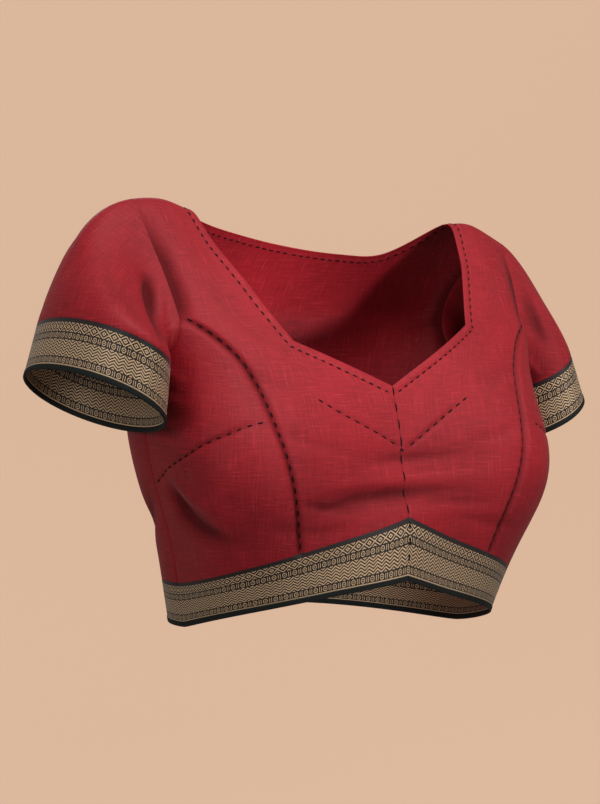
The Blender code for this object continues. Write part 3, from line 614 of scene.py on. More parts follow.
# Painted shade: cloth that lies deep in a crease gets less light than its neighbours, so its colour is
# painted darker by how deep it lies, and it is made duller.
hollow = add(tree, "Attribute", attribute_name="pushed").outputs["Fac"]
hollow = add(tree, "MapRange", (hollow, DEEP_CREASE, NO_CREASE, 0.70, 0.0))
coloured = add(tree, "Mix", {0: hollow, 6: coloured, 7: SILK_PAINTED_SHADE}, data_type="RGBA")
gloss = add(tree, "MapRange", (slub, 0.0, 0.6, 0.56, 0.42))
gloss = add(tree, "Math", (hollow, 0.5, gloss), operation="MULTIPLY_ADD")
raised = add(tree, "Math", (slub, 0.8, woven), operation="MULTIPLY_ADD")
bump = add(tree, "Bump", {"Height": raised, "Strength": 0.30, "Distance": 0.0004})
fill(tree, shader, {"Base Color": coloured, "Roughness": gloss, "Normal": bump})

# The seams of both halves, which the back shares with the fronts and the sleeves.
PRINCESS_SEAM = (
    (0.0790, -0.2620),
    (0.0830, -0.2270),
    (0.0890, -0.1950),
    (0.0970, -0.1650),
    (0.1070, -0.1360),
    (0.1200, -0.1100),
    (0.1400, -0.0890),
    (0.1590, -0.0770),
)
UPPER_FRONT_ARMHOLE = ((0.1590, -0.0770), (0.1620, -0.0530), (0.1665, -0.0270), (0.1720, 0.0030))
LOWER_FRONT_ARMHOLE = ((0.1590, -0.0770), (0.1600, -0.0910), (0.1630, -0.1030), (0.1690, -0.1120))
NECK_SHOULDER = (0.1205, 0.0030)
BORDER_TOP_POWER = {RIGHT: 1.60, LEFT: 1.70}


def front_edge(side, heights, power, angle, above=0.0):
    """Places on one half of an edge that rises to a point at the centre front."""
    low, centre = heights[0 if side == RIGHT else 1], heights[2]
    height = low + (centre - low) * (1 - angle / SIDE_SEAM) ** power[side]
    return np.stack([way_at(height + above), angle], axis=-1)


def shared_seams(side):
    """The side seam, the armhole above and below the princess seam and at the back, and the shoulder seam."""
    armhole_up, armhole_down = pattern_line(UPPER_FRONT_ARMHOLE), pattern_line(LOWER_FRONT_ARMHOLE)
    armhole_down[-1, 1] = SIDE_SEAM
    foot = front_edge(side, BORDER_TOP, BORDER_TOP_POWER, np.array([SIDE_SEAM]))[0]
    side_seam = np.linspace(foot, armhole_down[-1], LINE_STEPS)
    neck_angle, arm_angle = places(*NECK_SHOULDER)[1], armhole_up[-1, 1]
    shoulder = np.linspace((TOP, neck_angle), (TOP, arm_angle), LINE_STEPS)
    back_armhole = pattern_line(BACK_ARMHOLE, front=False)
    back_armhole[0], back_armhole[-1] = behind(side_seam[-1]), shoulder[-1]
    return {
        "side_seam": evenly(side, side_seam, SIDE_SEAM_ROWS),
        "armhole_up": evenly(side, armhole_up, UPPER_ARMHOLE_ROWS),
        "armhole_down": evenly(side, armhole_down, SIDE_ARMHOLE_STEPS),
        "shoulder": evenly(side, shoulder, SHOULDER_COLUMNS),
        "back_armhole": evenly(side, back_armhole, BACK_ARMHOLE_ROWS),
    }


SEAMS = {side: shared_seams(side) for side in SIDES}


def both_sides(net, creases):
    """Points of a net whose angle is negative on the wearer's right."""
    return np.where(net[..., 1:] >= 0, *(dressed(side, np.abs(net), creases) for side in SIDES))


def back_neck():
    """The back neck edge, from the wearer's right shoulder to the left."""
    out, height = curve_through(BACK_NECK, LINE_STEPS)
    line = places(np.abs(out), height, front=False)
    points = np.where(out[:, None] > 0, *(worn_form(side, line) for side in SIDES))
    line[:, 1] *= np.sign(out)
    length = length_along(points)
    return read_at(np.linspace(0, length[-1], BACK_COLUMNS - 2 * SHOULDER_COLUMNS + 1), length, line)


def hemmed_neck(side, neck, turn_in):
    """The neck's row of stitches and the creases round it, where turn_in is 1 or -1 towards the cloth."""
    stitches, fold = (beside(side, neck, turn_in * width) for width in (FOLDED_EDGE, FOLDED_EDGE / 2))
    pressed = [
        sewn_line(side, stitches, STITCH_SINK, STITCH_HALF_WIDTH),
        sewn_line(side, fold, FOLD_RISE, FOLD_HALF_WIDTH),
    ]
    return stitches, pressed


neck_stitches = {}
creases = bodice_creases(FRONT_CREASES, True) + bodice_creases(BACK_CREASES, False)
neck_line = back_neck()
for side, seams in SEAMS.items():
    for seam in ("side_seam", "armhole_down", "shoulder", "back_armhole"):
        creases.append(sewn_line(side, seams[seam]))
    for seam, fade in (("armhole_up", FRONT_ARMHOLE_FADE), ("back_armhole", BACK_ARMHOLE_FADE)):
        creases.append(sewn_line(side, seams[seam], ARMHOLE_SINK, ARMHOLE_HALF_WIDTH, fade_out=fade))
    half = neck_line[neck_line[:, 1] * side >= 0]
    neck_stitches["back", side], pressed = hemmed_neck(side, signed(side, half[::side]), 1)
    creases += pressed

edges = {
    side: signed(side, joined(behind(seams["side_seam"]), seams["back_armhole"]))
    for side, seams in SEAMS.items()
}
top = joined(signed(RIGHT, SEAMS[RIGHT]["shoulder"])[::-1], neck_line, SEAMS[LEFT]["shoulder"])
bottom = back_edge(BORDER_TOP, np.linspace(-SIDE_SEAM, SIDE_SEAM, BACK_COLUMNS + 1))
bottom[0], bottom[-1] = edges[RIGHT][0], edges[LEFT][0]
points = both_sides(net_between(bottom, top, edges[RIGHT], edges[LEFT]), creases)
normals = net_normals(points, RIGHT)
cut = laid_flat(points, normals, SIDE_SEAM_ROWS // 2)
back = cloth("back_panel", points, normals, cut, SILK, red_silk, flip=True)
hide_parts("back")
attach(back, "root")

# Centre fronts. Two panels of the same silk, sewn to each other down the centre and to the side fronts along
# the princess seams. A short dart comes down to the centre seam from each cup, and the neck is cut to a low
# point.

FRONT_NECK_SIDE = {
    RIGHT: ((0.0773, -0.0940), (0.0895, -0.0720), (0.1015, -0.0475), (0.1130, -0.0240), NECK_SHOULDER),
    LEFT: ((0.0850, -0.0790), (0.0940, -0.0620), (0.1035, -0.0430), (0.1135, -0.0220), NECK_SHOULDER),
}
FRONT_NECK_POINT = -0.1265
# The dart of each front as degrees from the centre line and heights, from its tip to the centre seam.
CENTRE_DART = {
    RIGHT: ((23.4, -0.1357), (18.4, -0.1444), (12.8, -0.1531), (6.7, -0.1619), (0.8, -0.1710)),
    LEFT: ((21.2, -0.1337), (14.9, -0.1465), (9.2, -0.1584), (2.6, -0.1710)),
}
FRONT_COLUMNS, PRINCESS_ROWS, NECK_POINT_ROWS, NECK_CORNER_ROWS = 96, 118, 66, 40
DART_STEPS = 60
# How deep and how wide each seam and dart draws the cloth in, and the shares of it over which that fades.
PRINCESS_SINK, PRINCESS_HALF_WIDTH, PRINCESS_FADE = -0.0027, 0.0026, 0.08
CENTRE_SINK, CENTRE_HALF_WIDTH = -0.0002, 0.0010
CENTRE_DART_SINK, CENTRE_DART_HALF_WIDTH, CENTRE_DART_FADE = -0.0012, 0.0018, 0.4


def front_lines(side):
    """The princess seam and the edges of one centre front, as places."""
    princess = pattern_line(PRINCESS_SEAM)
    border = front_edge(side, BORDER_TOP, BORDER_TOP_POWER, np.linspace(0, SIDE_SEAM, LINE_STEPS))
    gap = princess[:, 0] - np.interp(princess[:, 1], border[:, 1], border[:, 0])
    start = np.interp(0, gap, np.arange(len(gap)))
    first = read_at(start, np.arange(len(gap)), princess)
    princess = np.concatenate([[first], princess[int(start) + 1 :]])
    inner = front_edge(side, BORDER_TOP, BORDER_TOP_POWER, np.linspace(0, first[1], LINE_STEPS))
    outer = front_edge(side, BORDER_TOP, BORDER_TOP_POWER, np.linspace(first[1], SIDE_SEAM, LINE_STEPS))
    inner[-1] = outer[0] = first
    neck_low = places(*np.linspace((0, FRONT_NECK_POINT), FRONT_NECK_SIDE[side][0], LINE_STEPS).T)
    neck_rows = PRINCESS_ROWS + UPPER_ARMHOLE_ROWS - NECK_POINT_ROWS - NECK_CORNER_ROWS
    return {
        "princess": evenly(side, princess, PRINCESS_ROWS),
        "border_inner": evenly(side, inner, FRONT_COLUMNS),
        "border_outer": evenly(side, outer, SIDE_ARMHOLE_STEPS),
        "neck_low": evenly(side, neck_low, NECK_CORNER_ROWS),
        "centre": evenly(side, np.linspace(inner[0], neck_low[0], LINE_STEPS), NECK_POINT_ROWS),
        "neck_side": evenly(side, pattern_line(FRONT_NECK_SIDE[side]), neck_rows),
    }


def dart_line(rows):
    """Places along the smooth line through a dart's rows."""
    turn, height = curve_through(rows, DART_STEPS)
    return np.stack([way_at(height), np.radians(turn)], axis=-1)


front_creases = list(creases)
fronts = {side: front_lines(side) for side in SIDES}
darts = {side: dart_line(CENTRE_DART[side]) for side in SIDES}
for side, line in fronts.items():
    front_creases += [
        sewn_line(side, line["princess"], PRINCESS_SINK, PRINCESS_HALF_WIDTH, fade_out=PRINCESS_FADE),
        sewn_line(side, line["centre"], CENTRE_SINK, CENTRE_HALF_WIDTH),
        sewn_line(side, darts[side], CENTRE_DART_SINK, CENTRE_DART_HALF_WIDTH, fade_in=CENTRE_DART_FADE),
    ]
    neck = joined(line["neck_low"], line["neck_side"])
    neck_stitches["front", side], pressed = hemmed_neck(side, neck, -1)
    front_creases += pressed

for side, line in fronts.items():
    inner = joined(line["centre"], line["neck_low"], line["neck_side"])
    outer = joined(line["princess"], SEAMS[side]["armhole_up"])
    columns = np.linspace(0, SHOULDER_COLUMNS, FRONT_COLUMNS + 1)
    shoulder = read_at(columns, np.arange(SHOULDER_COLUMNS + 1), SEAMS[side]["shoulder"])
    points = dressed(side, net_between(line["border_inner"], shoulder, inner, outer), front_creases)
    normals = net_normals(points, side)
    cut = laid_flat(points, normals, NECK_POINT_ROWS // 2)
    name = NAME_OF[side]
    panel = cloth("centre_front_" + name, points, normals, cut, SILK, red_silk, flip=side == RIGHT)
    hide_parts("front_centre_" + name)
    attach(panel, "root")

# Side fronts. A shaped panel under each arm, from the princess seam to the side seam, with one bust dart from
# the side seam towards the cup.

# The dart of each side front, as the darts of the centre fronts.
SIDE_DART = {
    RIGHT: (
        (88.5, -0.1985), (79.0, -0.1880), (68.0, -0.1786), (58.8, -0.1693), (50.5, -0.1623), (44.0, -0.1566),
        (38.5, -0.1532),
    ),
    LEFT: (
        (88.5, -0.1960), (78.0, -0.1860), (68.0, -0.1770), (58.0, -0.1680), (50.0, -0.1610), (44.0, -0.1560),
        (39.0, -0.1530),
    ),
}
SIDE_DART_SINK, SIDE_DART_HALF_WIDTH, SIDE_DART_FADE_IN, SIDE_DART_FADE_OUT = -0.0013, 0.0019, 0.1, 0.35

for side in SIDES:
    darts[side, "side"] = dart_line(SIDE_DART[side])
    shape = (SIDE_DART_SINK, SIDE_DART_HALF_WIDTH, SIDE_DART_FADE_IN, SIDE_DART_FADE_OUT)
    front_creases.append(sewn_line(side, darts[side, "side"], *shape))

for side, line in fronts.items():
    fine_seam = evenly(side, SEAMS[side]["side_seam"], PRINCESS_ROWS)
    net = net_between(line["border_outer"], SEAMS[side]["armhole_down"], line["princess"], fine_seam)
    points = dressed(side, net, front_creases)
    normals = net_normals(points, side)
    cut = laid_flat(points, normals, PRINCESS_ROWS // 2)
    name = NAME_OF[side]
    panel = cloth("side_front_" + name, points, normals, cut, SILK, red_silk, flip=side == RIGHT)
    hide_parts("front_side_" + name)
    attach(panel, "root")

# Sleeves. Short set-in sleeves of the same silk, each one piece with a seam under the arm, eased a little
# into the armhole. They hang open and slightly flared, the right one swung forward and the left one back.

# The oval of each sleeve at the border's top and at the cuff: distance out, distance forward, height, half
# width and half depth.
SLEEVE_OVALS = {
    RIGHT: ((0.2075, 0.0230, -0.0990, 0.0435, 0.0690), (0.2120, 0.0180, -0.1380, 0.0485, 0.0700)),
    LEFT: ((0.2000, -0.0160, -0.1110, 0.0380, 0.0660), (0.2038, -0.0080, -0.1495, 0.0425, 0.0680)),
}
OVAL_TILT = {RIGHT: math.radians(28), LEFT: math.radians(32)}
SLEEVE_REACH_AT_BODY = {RIGHT: 1.15, LEFT: 0.85}
SLEEVE_REACH_AT_BORDER = 0.80
# Over this many rows the sleeve takes over the armhole's direction out of the body.
ARMHOLE_ROWS = 10
# Where the sleeve starts to hang straight down, as a share of the way round from the shoulder to the
# underarm, and the shares of its length over which its creases begin and end.
HANGS_FROM, FOLDS_BEGIN, FOLDS_END = 0.7, 0.25, 0.80
EDGE_WIDTH = 0.0040
SLEEVE_ROWS, SLEEVE_BORDER_ROWS, SLEEVE_EDGE_ROWS = 84, 24, 6
EVENING_PASSES = 160
# Creases as degrees round from the outer side over the front and shares of the length, then push and half
# width.
SLEEVE_CREASES = {
    RIGHT: (
        (56, 0.10, 80, 0.27, 101, 0.66, -0.0044, 0.0070),
        (34, 0.50, 62, 0.66, 88, 0.92, -0.0012, 0.0100),
        (-140, 0.20, -105, 0.38, -84, 0.70, -0.0030, 0.0110),
        (97, 0.34, 101, 0.60, 100, 0.95, -0.0022, 0.0080),
        (54, 0.10, 78, 0.22, 99, 0.44, -0.0040, 0.0052),
        (70, 0.06, 88, 0.13, 104, 0.24, 0.0014, 0.0045),
        (46, 0.22, 64, 0.34, 84, 0.52, 0.0014, 0.0060),
        (20, 0.30, 34, 0.52, 58, 0.74, -0.0008, 0.0050),
        (-30, 0.26, -18, 0.50, 6, 0.72, -0.0007, 0.0056),
        (-96, 0.30, -82, 0.50, -60, 0.70, -0.0012, 0.0046),
        (-134, 0.30, -108, 0.46, -90, 0.66, -0.0012, 0.0040),
        (-70, 0.58, -52, 0.72, -34, 0.92, -0.0008, 0.0046),
    ),
    LEFT: (
        (52, 0.16, 78, 0.34, 92, 0.66, -0.0030, 0.0100),
        (-130, 0.22, -98, 0.34, -70, 0.60, -0.0032, 0.0110),
        (-70, 0.50, -46, 0.62, -24, 0.90, -0.0018, 0.0100),
        (54, 0.26, 76, 0.42, 90, 0.62, -0.0013, 0.0038),
        (36, 0.44, 58, 0.62, 80, 0.86, -0.0009, 0.0044),
        (-20, 0.30, -4, 0.52, 22, 0.78, -0.0007, 0.0052),
        (-120, 0.28, -96, 0.42, -76, 0.60, -0.0012, 0.0040),
        (-76, 0.36, -60, 0.56, -36, 0.76, -0.0009, 0.0046),
    ),
}


def oval(side, row, turn):
    """Points round a sleeve, where turn is 0 at the outer side and a right angle at the front."""
    out, forward, height, half_width, half_depth = row
    outward = np.array([side * math.cos(OVAL_TILT[side]), 0, math.sin(OVAL_TILT[side])])
    wide, deep = half_width * np.cos(turn)[:, None], half_depth * np.sin(turn)[:, None]
    return np.array([side * out, -forward, height]) + wide * outward - deep * np.array([0, 1, 0])


def on_rings(rings, row, column):
    """The point at a fractional row and a fractional column of a tube's rings."""
    low, left = min(int(row), len(rings) - 2), int(column)
    right = (left + 1) % rings.shape[1]
    share = column - left
    lower, upper = ((1 - share) * ring[left] + share * ring[right] for ring in rings[low : low + 2])
    return (1 - row + low) * lower + (row - low) * upper


def evened_normals(side, rings):
    """Outward directions of a tube, evened out round each ring."""
    normals = net_normals(rings, side, tube=True)
    for _ in range(EVENING_PASSES):
        normals = unit(np.roll(normals, 1, axis=1) + 2 * normals + np.roll(normals, -1, axis=1))
    return normals


def creased_sleeve(side, rings, turn):
    """A sleeve's rings with its creases, which leave the armhole and the border's top as they are."""
    normals = evened_normals(side, rings)
    reached = np.concatenate([turn - turn[0], [2 * math.pi]])
    push = np.zeros(rings.shape[:2])
    for *three, depth, half_width in SLEEVE_CREASES[side]:
        line, strength = through(three)
        row = line[:, 1] * (len(rings) - 1)
        away = (np.radians(line[:, 0]) - turn[0]) % (2 * math.pi)
        column = np.interp(away, reached, np.arange(len(reached)))
        crease = np.stack([on_rings(rings, r, c) for r, c in zip(row, column)])
        push += crease_push(rings, crease, strength, depth, half_width)
    along = np.linspace(0, 1, len(rings))
    fade = ease(along, 0.0, FOLDS_BEGIN) * (1 - ease(along, FOLDS_END, 1.0))
    push = (push * fade[:, None])[..., None]
    return np.concatenate([rings + push * normals, push], axis=-1)


def rings_between(first, last, count):
    """Uncreased rings from one to another in equal steps."""
    rings = np.array([first + t * (last - first) for t in np.linspace(0, 1, count + 1)])
    return np.concatenate([rings, np.zeros((*rings.shape[:2], 1))], axis=-1)


def sleeve_sections(side):
    """Rings of points from the armhole to the border's top, along the border and along the bound edge."""
    seams = SEAMS[side]
    ring = joined(seams["armhole_up"][::-1], seams["armhole_down"], seams["back_armhole"])[:-1]
    start = dressed(side, ring, creases)[:, :3]
    normals = out_of_form(side, ring)
    along = unit(np.roll(start, -1, axis=0) - np.roll(start, 1, axis=0))
    leave = unit(side * np.cross(normals, along))
    length = np.linalg.norm(np.roll(start, -1, axis=0) - start, axis=1)
    underarm = UPPER_ARMHOLE_ROWS + SIDE_ARMHOLE_STEPS
    front, back_part = (
        np.concatenate([[0], np.cumsum(part[:-1])]) / part.sum()
        for part in (length[:underarm], length[underarm:])
    )
    _, forward, _, _, half_depth = SLEEVE_OVALS[side][0]
    at_shoulder = -math.asin(forward / half_depth)
    at_underarm = math.pi + math.asin((forward + start[underarm, 1]) / half_depth)
    turn = np.concatenate([
        at_shoulder + (at_underarm - at_shoulder) * front,
        at_underarm + (at_shoulder + 2 * math.pi - at_underarm) * back_part,
    ])
    top_ring, cuff = (oval(side, row, turn) for row in SLEEVE_OVALS[side])
    axis = unit(cuff - top_ring)
    lowness = ease((1 - np.cos(math.pi * np.concatenate([front, 1 + back_part]))) / 2, 0.0, HANGS_FROM)
    downward = lowness[:, None] * (1 - np.sum(along * axis, axis=1, keepdims=True) ** 2)
    leave = unit((1 - downward) * leave + downward * axis)
    reach = np.linalg.norm(top_ring - start, axis=1, keepdims=True)
    leave, arrive = SLEEVE_REACH_AT_BODY[side] * reach * leave, SLEEVE_REACH_AT_BORDER * reach * axis
    rings = np.array([bend(t, start, leave, top_ring, arrive) for t in np.linspace(0, 1, SLEEVE_ROWS + 1)])
    rings = creased_sleeve(side, rings, turn)
    low = cuff - EDGE_WIDTH * axis
    border = rings_between(top_ring, low, SLEEVE_BORDER_ROWS)
    edge = rings_between(low, cuff, SLEEVE_EDGE_ROWS)
    outward = evened_normals(side, np.concatenate([rings, border[1:], edge[1:]]))
    for row in range(ARMHOLE_ROWS):
        outward[row] = unit(outward[row] * row / ARMHOLE_ROWS + normals * (1 - row / ARMHOLE_ROWS))
    return rings, border, edge, outward


def closed(rings):
    return np.concatenate([rings, rings[:, :1]], axis=1)


sleeves = {side: sleeve_sections(side) for side in SIDES}
for side, (rings, border, edge, normals) in sleeves.items():
    name = NAME_OF[side]
    outward = normals[: len(rings)]
    cut = laid_flat(closed(rings), closed(outward), len(rings) - 1)
    sleeve = cloth("sleeve_silk_" + name, rings, outward, cut, SILK, red_silk, tube=True, flip=side == RIGHT)
    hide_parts("sleeve_" + name)
    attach(sleeve, "root")

# Hem borders. A ready-woven zari ribbon sewn along the hem, its pattern woven in gold thread on a dark brown
# ground. It rises to a point at the centre front, where the two halves meet at the centre seam.

BROCADE = 0.0011
HEM = (-0.3050, -0.3100, -0.2700, -0.2960)
HEM_POWER = {RIGHT: 1.15, LEFT: 1.50}
BORDER_ROWS = 26

# Zari brocade: gilt thread on dark silk. The gilt glints, the ground stays dull, and the pattern stands a
# little proud. Its threads are 0.2 mm apart, too fine to show, so they are drawn 1 mm apart. u is in
# millimetres along the ribbon, and w runs from 0 at the bound edge to 1 at its top.
RIBBON_HEIGHT = 30.0
RING_REPEAT, LATTICE_REPEAT, ZIGZAG_REPEAT = 7.8, 8.5, 6.8
ZARI_GOLD, ZARI_GROUND, ZARI_STRIPE = linear("dcbb94"), linear("1c120e"), linear("1d1114")
brocade, tree, shader = surface(
    "zari brocade ribbon, gilt thread on dark silk",
    Roughness=0.5,
    Specular_IOR_Level=0.4,
    Sheen_Weight=0.08,
)
flat_ribbon = add(tree, "TexCoord").outputs["UV"]
place = add(tree, "SeparateXYZ", (flat_ribbon,))
u = add(tree, "Math", (place.outputs["X"], 1000.0), operation="MULTIPLY")
w = place.outputs["Y"]


def band(low, high):
    """1 between two heights of the ribbon."""
    above = add(tree, "Math", (w, low), operation="GREATER_THAN")
    below = add(tree, "Math", (w, high), operation="LESS_THAN")
    return add(tree, "Math", (above, below), operation="MULTIPLY")


def ring_row(middle):
    """A row of rings with a dot in each and two bars between them."""
    across = add(tree, "Math", (u, RING_REPEAT / 2), operation="PINGPONG")
    up = add(tree, "Math", (w, middle), operation="SUBTRACT")
    up = add(tree, "Math", (up, RIBBON_HEIGHT), operation="MULTIPLY")
    squared = add(tree, "Math", (across, across), operation="MULTIPLY")
    away = add(tree, "Math", (up, up, squared), operation="MULTIPLY_ADD")
    away = add(tree, "Math", (away,), operation="SQRT")
    # In millimetres: the ring's radius and half its thickness, the dot's radius, then the same of the bars.
    ring = add(tree, "Math", (away, 1.45, 0.28), operation="COMPARE")
    dot = add(tree, "Math", (away, 0.45), operation="LESS_THAN")
    bar = add(tree, "Math", (across, RING_REPEAT / 2 - 0.75, 0.27), operation="COMPARE")
    short = add(tree, "Math", (up, 0.0, 1.6), operation="COMPARE")
    bar = add(tree, "Math", (bar, short), operation="MULTIPLY")
    marks = add(tree, "Math", (ring, dot), operation="MAXIMUM")
    return add(tree, "Math", (marks, bar), operation="MAXIMUM")


# The lattice: crossed lines round a small diamond in each space.
across = add(tree, "Math", (u, LATTICE_REPEAT / 2), operation="PINGPONG")
across = add(tree, "Math", (across, LATTICE_REPEAT / 2), operation="DIVIDE")
up = add(tree, "Math", (w, 0.805), operation="SUBTRACT")
up = add(tree, "Math", (up,), operation="ABSOLUTE")
away = add(tree, "Math", (up, 10.0, across), operation="MULTIPLY_ADD")
away = add(tree, "Math", (away, 1.0), operation="PINGPONG")
lines = add(tree, "Math", (away, 0.86), operation="GREATER_THAN")
diamonds = add(tree, "Math", (away, 0.32, 0.14), operation="COMPARE")
lattice = add(tree, "Math", (lines, diamonds), operation="MAXIMUM")
# The zigzags, one above another.
zigzag = add(tree, "Math", (u, ZIGZAG_REPEAT / 2), operation="PINGPONG")
zigzag = add(tree, "Math", (zigzag, 0.65), operation="MULTIPLY")
zigzag = add(tree, "Math", (w, RIBBON_HEIGHT, zigzag), operation="MULTIPLY_ADD")
zigzag = add(tree, "Math", (zigzag, 0.98), operation="PINGPONG")
zigzag = add(tree, "Math", (zigzag, 0.50), operation="LESS_THAN")
# Each pattern in its own band, over one plain line of gold along the foot.
gilt = add(tree, "Math", (w, 0.025), operation="LESS_THAN")
for low, high, pattern in (
    (0.030, 0.165, ring_row(0.098)),
    (0.180, 0.540, zigzag),
    (0.555, 0.690, ring_row(0.622)),
    (0.705, 0.905, lattice),
):
    shown = add(tree, "Math", (band(low, high), pattern), operation="MULTIPLY")
    gilt = add(tree, "Math", (gilt, shown), operation="MAXIMUM")
fine = add(tree, "Mapping", {"Vector": flat_ribbon, "Scale": (1100, 30, 1)})
threads = add(tree, "TexNoise", {"Vector": fine, "Scale": 1.0, "Detail": 2.0})
ground = add(tree, "Mix", {0: band(0.915, 2.0), 6: ZARI_GROUND, 7: ZARI_STRIPE}, data_type="RGBA")
worn = add(tree, "MapRange", (threads, 0.3, 0.7, 0.75, 1.0))
shown_gold = add(tree, "Math", (gilt, worn), operation="MULTIPLY")
coloured = add(tree, "Mix", {0: shown_gold, 6: ground, 7: ZARI_GOLD}, data_type="RGBA")
metal = add(tree, "Math", (gilt, 0.25), operation="MULTIPLY")
raised = add(tree, "Math", (threads, 0.6, gilt), operation="MULTIPLY_ADD")
bump = add(tree, "Bump", {"Height": raised, "Strength": 0.5, "Distance": 0.0004})
fill(tree, shader, {"Base Color": coloured, "Metallic": metal, "Normal": bump})

# The dark edges below are part of their border, so both are made together: a narrow dark cotton tape folded
# over the raw edge. It is dull, with ribs 1.1 mm apart.
EDGE_TAPE, EDGE_PROUD, HEM_EDGE_ROWS = 0.0018, 0.0004, 7
edge_tape, tree, shader = surface("dark cotton binding, woven", Roughness=0.72, Specular_IOR_Level=0.25)
ribs = add(tree, "Mapping", {"Vector": add(tree, "TexCoord").outputs["UV"], "Scale": (900, 300, 1)})
ribs = add(tree, "TexNoise", {"Vector": ribs, "Scale": 1.0, "Detail": 2.0})
bump = add(tree, "Bump", {"Height": ribs, "Strength": 0.4, "Distance": 0.0004})
coloured = add(tree, "Mix", {0: ribs, 6: linear("0b0f0e"), 7: linear("1b2220")}, data_type="RGBA")
fill(tree, shader, {"Base Color": coloured, "Normal": bump})


def ribbon_cut(points, from_column):
    """Distance along the ribbon from a column, and height as a share of the ribbon's."""
    along = np.zeros(points.shape[:2])
    along[:, 1:] = np.cumsum(np.linalg.norm(np.diff(points[..., :3], axis=1), axis=2).mean(axis=0))
    along -= along[:, from_column : from_column + 1]
    up = np.broadcast_to(np.linspace(0, 1, len(points))[:, None], along.shape)
    return np.stack([along, up], axis=-1)


def border_pieces(name, node, border, edge, **form):
    """The ribbon and the tape below it, each from its points, normals and places on the flat cloth."""
    ribbon = cloth("border_" + name, *border, BROCADE, brocade, **form)
    tape = cloth("edge_" + name, *edge, EDGE_TAPE, edge_tape, **form)
    for piece, kind, slot in ((ribbon, "border", "zari_border"), (tape, "edge", "dark_edge")):
        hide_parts(node % kind)
        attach(piece, "root")
    return ribbon, tape


def hem_pieces(name, low_edge, top_line, to_points, side, middle=0, **form):
    """One length of hem border with the dark tape below it, its pattern laid out from the middle column."""
    low, nets = low_edge(EDGE_WIDTH), []
    strips = ((low, top_line, BORDER_ROWS, 0.0), (low_edge(0.0), low, HEM_EDGE_ROWS, EDGE_PROUD))
    for bottom, top, rows, proud in strips:
        steps = np.linspace(0, 1, rows + 1)[:, None, None]
        points = to_points((1 - steps) * bottom + steps * top)
        normals = net_normals(points, side)
        points[..., :3] += proud * normals
        nets.append((points, normals, ribbon_cut(points, middle)))
    return border_pieces(name, "hem_%s_" + name, *nets, **form)


angles = np.linspace(-SIDE_SEAM, SIDE_SEAM, BACK_COLUMNS + 1)
ribbon, tape = hem_pieces(
    "back",
    lambda above: back_edge(HEM, angles, above),
    back_edge(BORDER_TOP, angles),
    lambda net: both_sides(net, creases),
    RIGHT,
    middle=BACK_COLUMNS // 2,
    flip=True,
)
for side, line in fronts.items():
    top_line, name = joined(line["border_inner"], line["border_outer"]), NAME_OF[side]
    ribbon, tape = hem_pieces(
        "front_" + name,
        lambda above: front_edge(side, HEM, HEM_POWER, top_line[:, 1], above),
        top_line,
        lambda net: dressed(side, net, front_creases),
        side,
        flip=side == RIGHT,
    )

# Sleeve borders. The same ribbon sewn round the end of each sleeve and joined under the arm, with the dark
# tape below.


def tube_cut(rings):
    """Distances round from the outer side and up from the last ring, with one more column than the rings."""
    points = closed(rings)[..., :3]
    around, along = np.zeros((2, *points.shape[:2]))
    around[:, 1:] = np.cumsum(np.linalg.norm(np.diff(points, axis=1), axis=2), axis=1)
    along[:-1] = np.cumsum(np.linalg.norm(np.diff(points, axis=0), axis=2)[::-1], axis=0)[::-1]
    return np.stack([around, along], axis=-1)


for side, (rings, border, edge, normals) in sleeves.items():
    name = NAME_OF[side]
    at_border, at_edge = len(rings) - 1, len(rings) + len(border) - 2
    flat = tube_cut(border)
    flat[..., 1] /= flat[:1, :, 1]
    flat[..., 0] = flat[len(border) // 2, :, 0]
    edge[..., :3] += EDGE_PROUD * normals[at_edge:]
    ribbon, tape = border_pieces(
        "sleeve_" + name,
        "sleeve_%s_" + name,
        (border, normals[at_border : at_edge + 1], flat),
        (edge, normals[at_edge:], tube_cut(edge)),
        tube=True,
        flip=side == RIGHT,
    )

# Topstitching. Thick dark thread in long running stitches: round the neck inside its folded edge, along the
# princess and centre seams and along the darts, with a small cross where the darts meet the centre seam.

# Half the thread's thickness, how high a stitch stands above its ends, and how far the ends are sunk.
THREAD, STITCH_RISE, STITCH_DIP = 0.00060, 0.00056, 0.0004
# The thread is drawn together at a stitch's ends to this share of its thickness.
STITCH_END = 0.55
STITCH_SECTIONS, THREAD_SIDES = 7, 8
# The length of a stitch, the gap to the next and where the first one starts.
NECK_STITCH = (0.0040, 0.0030, 0.0020)
PRINCESS_STITCH, DART_STITCH = (0.0050, 0.0034, 0.0030), (0.0050, 0.0034, 0.0020)
CENTRE_STITCH, TACK_STITCH = (0.0072, 0.0052, 0.0004), (0.0036, 0.0100, 0.0001)
BESIDE_SEAM = 0.0015
# Sewn by hand, so the stitches are uneven by up to this share, each turned this far on from the last.
UNEVEN, UNEVEN_TURN = 0.12, 12.9898
# The height of the tack, and how far its stitches reach along the way and round the form.
TACK_HEIGHT, TACK_UP, TACK_ROUND = -0.1729, 0.055, 0.012
# Mercerised cotton twist, dyed nearly black: round and barely shining, with a turn of the twist about every
# half millimetre.
thread_look, tree, shader = surface(
    "dark buttonhole twist, mercerised cotton",
    Base_Color=linear("0c0405"),
    Roughness=0.6,
    Specular_IOR_Level=0.15,
)
place = add(tree, "TexCoord").outputs["Object"]
fibre = add(tree, "TexNoise", {"Vector": place, "Scale": 1800.0, "Detail": 1.0})
bump = add(tree, "Bump", {"Height": fibre, "Strength": 0.4, "Distance": 0.0002})
fill(tree, shader, {"Normal": bump})


def tube_faces(rows, sides, first=0):
    """Faces between rings of points that lie one after another."""
    faces = []
    for ring in range(first, first + (rows - 1) * sides, sides):
        for k in range(sides):
            a, b = ring + k, ring + (k + 1) % sides
            faces.append((a, a + sides, b + sides, b))
    return faces


